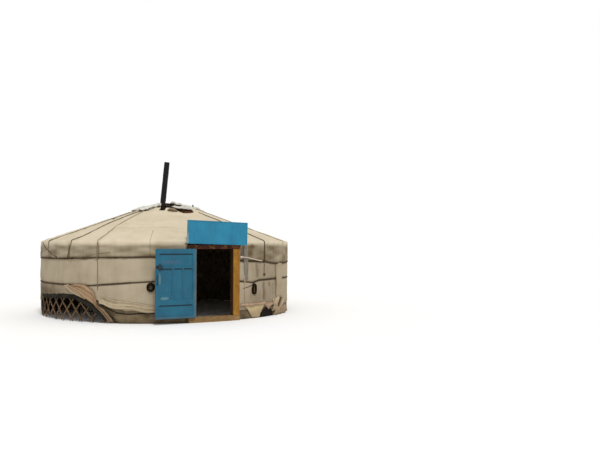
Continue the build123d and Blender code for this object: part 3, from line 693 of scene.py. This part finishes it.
def heap(name, edge, low, high, seed, swell, finish, node=None, fold=(0.5, 0.18), kinds=6, fold_shade=0.8,
         ragged=0.025, slant=0.0):
    """Cloth in folds against the wall's foot; edge is each side's angle at the foot and the top."""
    t, share = spread(0, 1, 150, 46)
    first, last = (foot + (top - foot) * share for foot, top in edge)
    angles = first + (last - first) * t
    along = np.radians(angles) * skirt_r
    top = high + ragged * ripples(along, 0, seed, 0.8, 0.25)
    heights = low + (top - low) * share
    waves = ripples(along + slant * heights, heights * (1.2 - abs(slant)), seed + 1, *fold, math.pi, kinds)
    ridge = (1 - np.clip(np.abs(waves), 0, 1)) ** 1.3
    ends = fading(t, 1, 0.08)
    lean = np.sin(np.pi * np.clip(share, 0.02, 0.98)) ** 0.5
    radii = skirt_r + skirt_off + swell * (0.15 + 0.85 * ridge) * lean * (0.25 + 0.75 * ends)
    # Painted shade in the hollows between the folds.
    cloth(name, round_wall(angles, radii, heights), 0.005, finish, node,
          fold_shade * np.clip(0.5 - ridge, 0, 1) / 0.5, "gathered", ["wall_canvas_right"])


skirt_cotton = canvas("skirt_cotton", rgb(214, 195, 152), rgb(192, 171, 130), rgb(112, 92, 66))
heap_cotton = canvas("heap_cotton", rgb(184, 164, 134), rgb(140, 120, 96), rgb(40, 32, 24))
pink_cotton = canvas("pink_cotton", rgb(186, 158, 134), rgb(156, 126, 104), rgb(80, 62, 50))
# A near-black felt heap at the wall's foot behind the skirt stands in for the shadow in the gap there:
# painted shadow.
gap_shadow_felt = felt("gap_shadow_felt", rgb(34, 28, 22), rgb(16, 13, 11))
heap("skirt_shadow_heap", ((23, 24), (36, 34)), 0.008, 0.19, 61, 0.012, gap_shadow_felt)
heap("skirt_band", ((18.6, 14.2), (23, 26.5)), 0.02, 0.32, 71, 0.024, skirt_cotton, "ground_skirt",
     (0.8, 0.4), 3, 0.3, 0.004)
arc = np.linspace(11.8, 26.5, 60)
roll("skirt_roll", round_wall(arc, 3.112, 0.325 + 0.006 * np.sin(arc)), 0.024, pink_cotton,
     77)
laid_on_wall("skirt_corner", [(25.2, 0.345), (28.5, 0.34), (32.6, 0.32)],
             [(25.8, 0.29), (29.2, 0.155), (32.4, 0.27)], [(0.4, 0.9, 0.3, 0.1)], 0.03, pink_cotton,
             171, count=50, side="right", base=0.03)
heap("skirt_heap", ((35, 32.5), (47, 45)), 0.012, 0.42, 81, 0.085, heap_cotton, slant=-0.8)
heap("skirt_foot", ((33, 31), (49, 46)), 0.01, 0.2, 91, 0.10, heap_cotton, fold=(0.4, 0.15), slant=-0.7)
turns, heights = drawn([(14.2, 0.98), (14.3, 0.8), (14.5, 0.6), (14.4, 0.45), (14.7, 0.34)], 40)
roll("skirt_tape", round_wall(turns, canvas_r + 0.014, heights), 0.011, pink_cotton, 83)


# Roof canvas: three bleached cotton sheets laid from the crown over the eave, which hang
# down the wall as a flap. The upper rope holds the flap's foot, and it is short over the door.

flap_r, eave_r = 3.0795, 0.045


def eave_bend():
    """Where the roof's slope ends, and the bend from there to the top of the hanging flap."""
    slope = math.atan(roof_fall)
    centre_r = flap_r - eave_r
    top_r = centre_r + eave_r * math.sin(slope)
    centre_z = roof_z(top_r) - eave_r * math.cos(slope)
    turn = np.linspace(slope, math.pi / 2, 9)
    return top_r, centre_r + eave_r * np.sin(turn), centre_z + eave_r * np.cos(turn), centre_z


def roof_sheet(angles, upper_r, foot_z):
    """Grid of the roof canvas from the flap's foot up to the crown, without its folds."""
    top_r, bend_r, bend_z, bend_foot = eave_bend()
    drop = np.linspace(0, 1, 16)[:-1, None]
    flap_z = foot_z + (bend_foot - foot_z) * drop
    flap = round_wall(angles, flap_r + 0 * flap_z, flap_z)
    eave = round_wall(angles, bend_r[::-1][:, None] + 0 * angles, bend_z[::-1][:, None])
    climb = np.linspace(0, 1, 64)[1:, None]
    radii = top_r + (upper_r - top_r) * climb
    slope = round_wall(angles, radii, roof_z(radii))
    return np.concatenate([flap, eave, slope])


roof_ropes = {
    "left_dark": [(-48, 0.72), (-52, 0.86), (-55.5, 0.99), (-65.3, 1.13), (-64.8, 1.9), (-61.5, 2.42),
                  (-60, 2.8), (-61, 3.05), (-63.4, 3.1)],
    "left_pale": [(-56.0, 0.9), (-53.7, 1.69), (-51.8, 2.13), (-48.5, 2.67), (-47.3, 3.1)],
    "right": [(22.8, 1.08), (23.5, 1.1), (27.5, 1.6), (26.3, 2.63), (26.4, 3.1)]}

over_door_deg, over_door_z, canvas_mid_r = 12.6, 1.70, 3.07
roof_cotton = canvas("roof_cotton", rgb(212, 200, 176), rgb(198, 184, 157), rgb(98, 83, 58),
                     [(-49, 2.27, -10, 2.27), (-26.7, 2.4, -25.6, 3.2), (60, 1.9, 170, 1.9),
                      (100, 1.9, 98, 3.06), (-170, 2.3, -100, 2.3)])
flap_stains = [(0.45, 17.2, 1.47, 1.2, 0.06), (0.3, 18.5, 1.64, 1.6, 0.04)]
flap_creases = [(20.8, 21.5, 1.72, 1.34, 0.7, 0.012), (28.2, 26.4, 1.72, 1.3, 0.8, 0.014),
                (35.5, 36, 1.7, 1.27, 0.7, 0.01)]
for name, start, stop in (("front", -78.75, 78.75), ("right", 78.75, 180), ("left", 180, 281.25)):
    angles = np.linspace(start, stop, int((stop - start) / 0.5) + 1)[None, :]
    signed = from_door(angles)
    foot = line_z(rope_lines["upper"], angles) - 0.024
    foot = foot + 0.006 * ripples(np.radians(angles) * 3, 0, 91, 0.5, 0.1)
    foot = np.where(np.abs(signed) < over_door_deg, over_door_z, foot)
    grid = roof_sheet(angles, 0.712 + bared(angles), foot)
    along = np.radians(angles) * canvas_mid_r
    reach = np.hypot(grid[..., 0], grid[..., 1])
    high = grid[..., 2]
    flap_share = ((1.73 - high) / 0.1).clip(0, 1)
    lift = 0.007 * ripples(np.radians(angles) * reach, reach, 95, 1.1, 0.25)
    lift += 0.0025 * np.cos(np.radians(angles) * 64) * (reach / 3)
    lift = lift * np.clip((reach - 0.75) / 0.2, 0.2, 1) * (1 - flap_share)
    level = ripples(along * 0.12, high, 97, 0.16, 0.05, 0.6)
    upright = ripples(along, high * 0.25, 98, 0.35, 0.07, 0.3)
    right = fading(signed - 5, 55, 10)
    flap_lift = 0.004 + 0.004 * level * (1 - right) + (0.0035 + 0.009 * right) * upright
    flap_lift = flap_lift - creases(flap_creases, angles, high)
    held = near_rope(rope_lines["upper"], angles, high, 0.03)
    lift = lift + flap_share * (flap_lift * (1 - held) - 0.004 * held)
    grid = grid + outward(grid) * lift[..., None]
    # The hanging flap is darkened as painted shade under the eave, with its level wrinkles as painted shade
    # too, and it is darker under the upper rope. The slope right of the door gets painted shade, the listed
    # stains are added, and the cotton is darker along each roof rope.
    dirt_and_shade = flap_share * (0.66 + 0.1 * level + 0.02 * right + 0.3 * held)
    dirt_and_shade = dirt_and_shade + blots(flap_stains, angles, high) + 0.16 * hump(signed, 22, 12) * (reach > 2.3)
    for points in roof_ropes.values():
        turn, out = np.array(points).T
        beside = (signed - np.interp(reach, out, turn)) * np.radians(1) * reach
        dirt_and_shade = dirt_and_shade + 0.3 * hump(beside, 0.01, 0.03) * (reach > out[0])
    cloth(f"canvas_roof_{name}", grid, cotton_thick, roof_cotton, f"roof_canvas_{name}",
          dirt_and_shade, "draped", ["roof_felt_front" if name == "front" else "roof_felt_back"])

arc = np.linspace(-21, -8, 40)
share = (arc + 21) / 13
lump_r = 0.98 + 0.08 * share
lump_cotton = canvas("lump_cotton", rgb(138, 126, 102), rgb(98, 86, 66), rgb(60, 50, 38))
roll("crown_lump", round_wall(arc, lump_r, roof_z(lump_r) + 0.012 + 0.03 * np.sin(share * np.pi)),
     0.036, lump_cotton, 85, flatten=1.6)


# Ropes: twisted horsehair. Two go right round the wall, each doubled, and others come down
# from the crown over the eave to the upper one.

rope_sides, rope_lay = 8, 0.03


def strand(name, path, radius, finish):
    """Rope along a line of points."""
    tangent = heading(path)
    side = np.empty_like(path)
    carried = np.cross(tangent[0], (0.2, 0.1, 1.0))
    for i, along in enumerate(tangent):
        carried = carried - along * (carried @ along)
        carried = carried / np.linalg.norm(carried)
        side[i] = carried
    turn = np.linspace(0, 2 * np.pi, rope_sides + 1)
    return tube(name, path, side, radius, turn, rope_sides, turn / (2 * np.pi), finish)


def rope_finish(name, colour, pale):
    """Three strands twisted together, a turn in every lay, with hairs that stand out."""
    finish = Finish(name, roughness=0.95)
    cut = finish.node("ShaderNodeUVMap", {"uv_map": "cut"})
    twist = finish.part(cut, 0) + finish.part(cut, 1) / rope_lay
    strands = finish.node("ShaderNodeMath", {"operation": "PINGPONG"}, {0: twist * 3, 1: 0.5}) * 2
    hair = finish.mottle(0.006, 4, 0.7)
    finish.drive(base_color=finish.mix(colour, pale, (strands * 0.5 + hair * 0.7).rise(0.4, 1.1)))
    finish.bump(strands + hair * 0.4, 0.003)
    return finish


hair_rope = rope_finish("hair_rope", rgb(60, 48, 37), rgb(112, 94, 72))
faint_rope = rope_finish("faint_rope", rgb(160, 143, 116), rgb(184, 168, 142))
grey_rope = rope_finish("grey_rope", rgb(116, 99, 76), rgb(152, 134, 108))
pale_rope = rope_finish("pale_rope", rgb(206, 188, 168), rgb(236, 224, 208))
hair_r, thin_r = 0.0075, 0.0055
for number, (name, points) in enumerate(rope_lines.items()):
    arc = np.linspace(edge_deg, 360 - edge_deg, 640)
    base = flap_r if name == "upper" else canvas_r
    apart = 1 + 0.5 * ripples(np.radians(arc) * 3, 0, 101 + number, 1.5, 0.3)
    for half, lift in (("a", 0.0065), ("b", -0.0065)):
        z = line_z(points, arc) + lift * apart
        piece = strand(f"rope_{name}_{half}", round_wall(arc, base + 0.003, z), hair_r, hair_rope)
        if name == "upper" and half == "a":
            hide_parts("wall_ropes")

for name, path, radius, lift, finish in (
        ("far", [(-88, 1.727), (-81.2, 1.58), (-75, 1.46), (-70.7, 1.39)], 0.0085, flap_r, hair_rope),
        ("loose", [(-57, 1.37), (-52, 1.425), (-48, 1.47), (-42, 1.50)], 0.006, flap_r, grey_rope),
        ("jamb", [(11.6, 1.4), (12.6, 1.392), (15.2, 1.38), (17.4, 1.355), (21.4, 1.318), (24, 1.30)],
         0.012, flap_r + 0.02, pale_rope),
        ("slack", [(13.6, 0.69), (15.8, 0.71), (18, 0.745), (19.7, 0.789)], 0.006, None, hair_rope),
        ("hanger_left", [(-24.7, 0.905), (-24.9, 0.87), (-25.2, 0.835)], 0.007, canvas_r + 0.008, hair_rope),
        ("hanger_right", [(19.7, 0.80), (19.7, 0.78), (19.7, 0.765)], 0.007, canvas_r + 0.008, hair_rope),
        ("tail_left", [(-47.3, 1.72), (-47.45, 1.4), (-47.3, 1.1), (-47.1, 0.70)], 0.006, flap_r, grey_rope),
        ("tail_right", [(26.3, 1.3), (26.0, 1.15), (26.1, 0.96)], 0.007, None, hair_rope)):
    turns, heights = drawn(path, 12 * len(path))
    below = heights < line_z(rope_lines["upper"], turns) - 0.02
    on = np.full(len(turns), lift or flap_r)
    if lift in (None, flap_r):
        on = np.where(below, belly(turns, heights), on)
    over = sum(near_rope(points, turns, heights, 0.02) for points in rope_lines.values())
    strand(f"rope_{name}", round_wall(turns, on + 0.006 + 0.014 * over, heights), radius, finish)

roof_paths = {name: (points, hair_rope) for name, points in roof_ropes.items()}
roof_paths["left_pale"] = (roof_ropes["left_pale"], faint_rope)
for number in (8, 13, 19, 25, 32, 39, 45, 50):
    a = number * cell_deg
    start = 0.98 if 90 < a < 292.5 else 0.74 + float(bared(a))
    roof_paths[f"at_{number}"] = ([(a, start), (a, 3.1)], grey_rope)
top_r, bend_r, bend_z, bend_foot = eave_bend()
for name, (points, finish) in roof_paths.items():
    turn, reach = np.array(points).T
    radii = np.linspace(reach[0], top_r, 60)
    down = np.linspace(bend_foot, line_z(rope_lines["upper"], turn[-1]), 14)
    r = np.concatenate([radii, bend_r[1:], np.full(13, flap_r)]) + 0.008
    z = np.concatenate([roof_z(radii) + 0.009, bend_z[1:] + 0.006, down[1:]])
    at_eave = np.interp(top_r, reach, turn)
    t = np.concatenate([np.interp(radii, reach, turn), np.full(8, at_eave),
                        np.linspace(at_eave, turn[-1], 13)])
    thick = hair_r if finish is hair_rope else thin_r
    piece = strand(f"rope_roof_{name}", round_wall(t, r, z), thick, finish)
    if name == "left_dark":
        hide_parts("roof_ropes")


def knot(name, angle, z, radius, size, finish):
    """Overhand knot: a short rope in one close turn."""
    t = np.linspace(0, 2 * np.pi, 28)
    out, across = facing(angle)
    path = (out * radius + np.outer(size * np.cos(t), across) + np.outer(size * 0.45 * np.sin(2 * t), out)
            + np.outer(z + size * 0.8 * np.sin(t), (0, 0, 1)))
    strand(name, path, size * 0.42, finish)


knot("knot_jamb", 12.2, 1.387, flap_r + 0.03, 0.024, pale_rope)
knot("knot_right", 26.1, 0.975, canvas_r + 0.028, 0.024, hair_rope)
knot("knot_left", -60.6, 1.37, flap_r + 0.016, 0.02, hair_rope)
knot("knot_tail", -47.4, 1.385, flap_r + 0.02, 0.018, grey_rope)


# Spare rope: two coils hung from the middle rope, one each side of the door, wound by hand
# in eight or nine loose turns with round ends and straight sides.

lane_gap, rope_half, cover_corner_r, coil_off = 0.019, 0.0065, 3.0686, 0.0303


def coil(name, angle, share, half, loose, turns_out):
    """Hank of rope at an angle and a share of the wall's height.

    Half is half its width, and half its height, in the middle of the rope. Loose is how much the
    outer turns are wider than the inner ones.
    """
    facet = (math.floor(angle / facet_deg) + 0.5) * facet_deg
    out, across = facing(facet)
    face_r = cover_corner_r * math.cos(math.radians(facet_deg / 2))
    middle = (out * (face_r + coil_off) + across * face_r * math.tan(math.radians(angle - facet))
              + np.array([0, 0, share * fork_z]))
    lanes = [(-1, -1), (0, -1), (1, -1), (1, 0), (0, 0), (-1, 0), (-1, 1), (0, 1), (1, 1), (1, 1)]
    per_turn = 18
    t = np.pi / 2 + 2 * np.pi * np.arange(turns_out * per_turn + 1) / per_turn
    beside, behind = lane_gap * np.array(drawn(lanes[:turns_out + 1], len(t)))
    wide, straight = half[0] + beside * loose, half[1] - half[0]
    high = wide * np.sin(t) + straight * np.clip(3 * np.sin(t), -1, 1)
    points = (middle + np.outer(wide * np.cos(t), across) + np.outer(behind, out)
              + np.outer(high, (0, 0, 1)))
    line = bpy.data.curves.new(name, "CURVE")
    line.dimensions = "3D"
    spline = line.splines.new("NURBS")
    spline.points.add(len(points) - 1)
    for point, co in zip(spline.points, points):
        point.co = (*co, 1)
    spline.order_u = 3
    spline.use_endpoint_u = True
    line.resolution_u = 3
    line.bevel_depth = rope_half
    line.bevel_resolution = 2
    line.use_fill_caps = True
    line.materials.append(coil_rope.material)
    piece = placed(name, line)
    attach(piece, "tent")
    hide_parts(name.replace("spare_", "rope_"))


coil_rope = Finish("coil_rope", roughness=0.95)
fibre = coil_rope.mottle(0.012, 5, 0.7)
coil_rope.drive(base_color=coil_rope.mix(rgb(18, 12, 7), rgb(44, 31, 17), fibre.rise(0.35, 0.8)))
coil_rope.bump(fibre, 0.004)
coil("spare_coil_left", -25.3125, 0.462, (0.062, 0.072), 1.0, 9)
coil("spare_coil_right", 19.6875, 0.398, (0.046, 0.106), 0.8, 8)


# Crown flap: a cotton cloth folded back over the far half of the crown, bunched at its near
# edge and tied down behind, so that smoke leaves by the open half.

flap_cotton = canvas("flap_cotton", rgb(220, 218, 209), rgb(190, 186, 174), rgb(120, 110, 94))
flap_from, flap_to, flap_reach = 88, 312, 0.965
angles, share = spread(flap_from, flap_to, 225, 44)
inner = np.interp(angles, [flap_from, 256, 264, 300, flap_to], [0.05, 0.05, 0.36, 0.38, 0.55])
outer = np.interp(angles, [flap_from, 304, 308.2, flap_to], [flap_reach, flap_reach, 0.87, 0.64])
radii = outer + (inner - outer) * share
profile_r = [0.04, 0.1, 0.316, 0.743, flap_reach]
profile_z = [2.768, 2.765, 2.722, 2.64, 2.545]
edge = np.minimum(angles - flap_from, flap_to - angles) * np.radians(1) * radii
heights = np.interp(radii, profile_r, profile_z) + 0 * angles
bunch = 0.012 * ripples(np.radians(angles) * radii, radii, 111, 0.4, 0.08)
heights = heights + bunch * np.clip(radii / 0.3, 0.2, 1) - 0.02 * hump(edge, 0, 0.03)
# It is darker in the hollows of its bunching, as painted shade, and along its edges.
cloth("crown_cover", round_wall(angles, radii, heights), 0.012, flap_cotton, "crown_flap",
      0.6 * hump(bunch, -0.02, 0.01) + 0.3 * hump(edge, 0, 0.05), "draped", ["crown_rim"])
rim_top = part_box("crown_rim")[1][2]
fringe_from, fringe_to, rim_r, rag_z = -13, 92, 0.72, 0.022
angles, share = spread(fringe_from, fringe_to, 130, 20)
drop = np.interp(angles, [fringe_from, -5, 10, 34, 50, fringe_to], [0.02, 0.05, 0.06, 0.065, 0.025, 0.02])
over = np.clip(share / 0.6, 0, 1)
down = np.clip((share - 0.6) / 0.4, 0, 1)
waves = 0.008 * ripples(np.radians(angles) * rim_r, share * 0.1, 113, 0.3, 0.06)
radii = 0.45 + 0.285 * over + 0.012 * down + waves * share
# The fringe is darker in the hollows of its waves, as painted shade.
cloth("crown_fringe", round_wall(angles, radii, rim_top + rag_z - drop * down + waves), 0.008,
      flap_cotton, None, 0.3 * hump(waves, -0.008, 0.006), "draped", ["crown_rim"])
arc = np.linspace(-16, 5, 40)
sag = np.interp(arc, [-16, -5, 5], [0.0, 0.05, 0.06])
strand("crown_rope_front", round_wall(arc, 0.755, rim_top + 0.012 - sag), 0.014, hair_rope)
right_edge = [(flap_from, 0.03), (flap_from, 0.95)]
left_edge = [(-66, 0.99), (-59, 0.985), (-54.8, 0.95), (-51.8, 0.856), (-48.6, 0.66), (-46.5, 0.54),
             (-47.5, 0.46)]
for name, line, radius in (("right", right_edge, 0.042), ("left", left_edge, 0.048)):
    share = np.linspace(0, 1, 70)
    turns, along = drawn(line, 70)
    z = np.interp(along, profile_r, profile_z) + 0.01 * np.sin(share * 27)
    line = round_wall(turns, along + 0.01 * np.sin(share * 16), z)
    roll(f"crown_roll_{name}", line, radius, flap_cotton, 117)
    near = np.array([-0.316, -0.949, 0]) * (radius + 0.004)
    strand(f"crown_rope_{name}", line + near - np.array([0, 0, 0.026]), 0.012, hair_rope)
rag_cloth = felt("rag_cloth", rgb(70, 58, 50), rgb(38, 32, 30))
t = np.linspace(-0.4, 2.6, 40)
rag = [-0.235 + 0.105 * np.cos(t), -0.16 + 0.1 * np.sin(t), 2.675 + 0.02 * np.sin(3 * t)]
roll("pipe_rag", np.stack(rag, axis=1), 0.034, rag_cloth, 131)


# Stovepipe: three lengths of rolled sheet steel that slip one over the other, black with
# soot at the top and rusty at the foot, through a sheet collar on the crown.

soot = Finish("soot_steel", shine=0.4, metallic=0.35)
rise = soot.part(soot.place, 2)
blotch = soot.mottle(0.12, 5, 0.65, stretch=(1, 1, 0.5))
streak = soot.mottle(0.03, 4, 0.6, stretch=(1, 1, 0.06))
rust = (rise + blotch * 0.5).rise(3.25, 2.75)
soot_colour = soot.mix(rgb(15, 18, 20), rgb(40, 40, 38), (streak * 0.6 + blotch * 0.5).rise(0.45, 0.85))
soot.drive(base_color=soot.mix(soot_colour, rgb(52, 34, 32), rust * 0.8), roughness=0.6 + 0.3 * blotch)
soot.bump(blotch + streak * 0.3, 0.003)
paint(soot, "stovepipe_lower", "stovepipe_middle", "stovepipe_upper", "pipe_collar")


# Door leaf: a joined frame of stiles, rails and muntins with five boards let in, on two pin
# hinges. It stands open against the wall, in worn blue gloss paint.

def painted(name, colour, deep, under, chip, rough, grime, worn=(), shade=(), spots=()):
    """Oil paint on boards or sheet, chipped to what is under it.

    Worn is an axis, two places between which the paint turns pale, and the colour there. Shade is heights of
    rails with painted shadow under them. Spots are x, z, half width and height, colour.
    """
    finish = Finish(name, shine=0.35, roughness=rough)
    cloud = finish.mottle(0.4, 4, 0.6)
    brush = finish.mottle(0.02, 4, 0.6, stretch=(1, 1, 0.1))
    chips = finish.mottle(0.05, 7, 0.75).rise(chip, chip + 0.04)
    rub = finish.mottle(0.25, 5, 0.7, stretch=(1, 1, 0.6)).rise(0.5, 0.85)
    base = finish.mix(colour, deep, (cloud * 0.8 + brush * 0.4).rise(0.4, 0.9))
    base = finish.mix(base, rgb(72, 104, 116), rub * grime)
    side, up = finish.part(finish.place, 0), finish.part(finish.place, 2)
    for axis, full, none, pale in worn:
        patch = finish.part(finish.place, axis).rise(none, full) * (0.35 + 0.8 * rub)
        base = finish.mix(base, pale, patch)
    base = finish.mix(base, under, chips)
    for x, z, wide, tall, spot in spots:
        near, level = (side - x) / wide, (up - z) / tall
        off = near * near + level * level + (rub + brush * 1.5 - 1) * 1.8
        base = finish.mix(base, spot, off.rise(1.4, 0.2) * 0.7)
    # Painted shadow: a dark band under each rail.
    for top in shade:
        under_rail = up.rise(top - 0.044, top - 0.012) * up.rise(top + 0.004, top + 0.002)
        base = finish.mix(base, rgb(6, 22, 34), under_rail)
    finish.drive(base_color=base, roughness=rough + 0.35 * rub + 0.2 * chips)
    finish.bump(brush * 0.4 - chips, 0.0015)
    return finish


worn_edges = [(0, -0.47, -0.53, rgb(84, 104, 112)), (2, 0.13, 0.2, rgb(78, 92, 98))]
door_spots = [(-1.225, 1.19, 0.06, 0.07, rgb(10, 16, 20)), (-1.235, 0.95, 0.022, 0.12, rgb(96, 128, 140)),
              (-1.13, 0.545, 0.08, 0.026, rgb(100, 134, 142)), (-1.0, 1.3, 0.18, 0.03, rgb(60, 88, 112))]
leaf_blue = painted("leaf_blue", rgb(24, 96, 121), rgb(16, 75, 98), rgb(92, 84, 72), 0.66, 0.45, 0.25,
                    worn_edges, spots=door_spots)
panel_blue = painted("panel_blue", rgb(24, 98, 123), rgb(16, 79, 102), rgb(112, 128, 126), 0.63, 0.45, 0.3,
                     worn_edges, shade=(0.406, 1.166, 1.476), spots=door_spots)
paint(leaf_blue, "leaf_frame")
paint(panel_blue, "leaf_panels")
iron = Finish("hinge_iron", shine=0.5, metallic=0.7)
scale = iron.mottle(0.03, 5, 0.7)
iron.drive(base_color=iron.mix(rgb(48, 46, 44), rgb(104, 82, 66), scale.rise(0.5, 0.8)),
           roughness=0.5 + 0.4 * scale)
iron.bump(scale, 0.001)
paint(iron, "leaf_hinges", "leaf_latch", "frame_hinges", "sign_bracket")


# Sign box: shallow, of sheet steel with a lip round its face, painted a plain blue that has
# faded. It stands on the lintel, packed up at its left end.

# The box's left end face, from x -0.632 outwards, is coloured near white.
sign_blue = painted("sign_blue", rgb(33, 127, 158), rgb(25, 104, 138), rgb(150, 160, 160), 0.7, 0.4, 0.2,
                    [(0, -0.637, -0.632, rgb(206, 214, 212))])
paint(sign_blue, "sign_board")


# Setting: a pale level floor, a soft sun from the left and an even sky.

half = 200
mesh = bpy.data.meshes.new("floor")
mesh.from_pydata([(-half, -half, 0), (half, -half, 0), (half, half, 0), (-half, half, 0)], [],
                 [(0, 1, 2, 3)])
mesh.materials.append(Finish("pale_floor", roughness=0.9, base_color=(1, 1, 1, 1)).material)
floor = placed("floor", mesh)
floor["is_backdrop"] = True

sun = placed("sun", bpy.data.lights.new("sun", "SUN"))
sun.data.energy = 1.7
sun.data.angle = math.radians(10)
sun.rotation_euler = (math.radians(34), 0, math.radians(-8))

world = bpy.data.worlds.new("sky")
bpy.context.scene.world = world
world.use_nodes = True
sky = Nodes(world.node_tree)
light = sky.node("ShaderNodeBackground", values={"Color": (1.0, 0.985, 0.96, 1), "Strength": 0.6})
white = sky.node("ShaderNodeBackground", values={"Color": (1, 1, 1, 1)})
seen = sky.node("ShaderNodeLightPath", output="Is Camera Ray")
choice = sky.node("ShaderNodeMixShader", values={0: seen, 1: light, 2: white})
sky.plug(world.node_tree.nodes["World Output"].inputs["Surface"], choice)


# Camera: 1.6 m up and about 16 m off, to the left of the door, with a lens that takes in the
# whole yurt.

camera = placed("camera", bpy.data.cameras.new("camera"))
camera.data.lens, camera.data.sensor_width = 37.2, 36
camera.location = (-5.22, -15.66, 1.59)
camera.rotation_euler = (math.radians(92.14), 0, math.radians(-30.35))
camera.data.clip_end = 500
bpy.context.scene.camera = camera

bpy.context.scene.view_settings.view_transform = "Standard"

low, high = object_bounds()
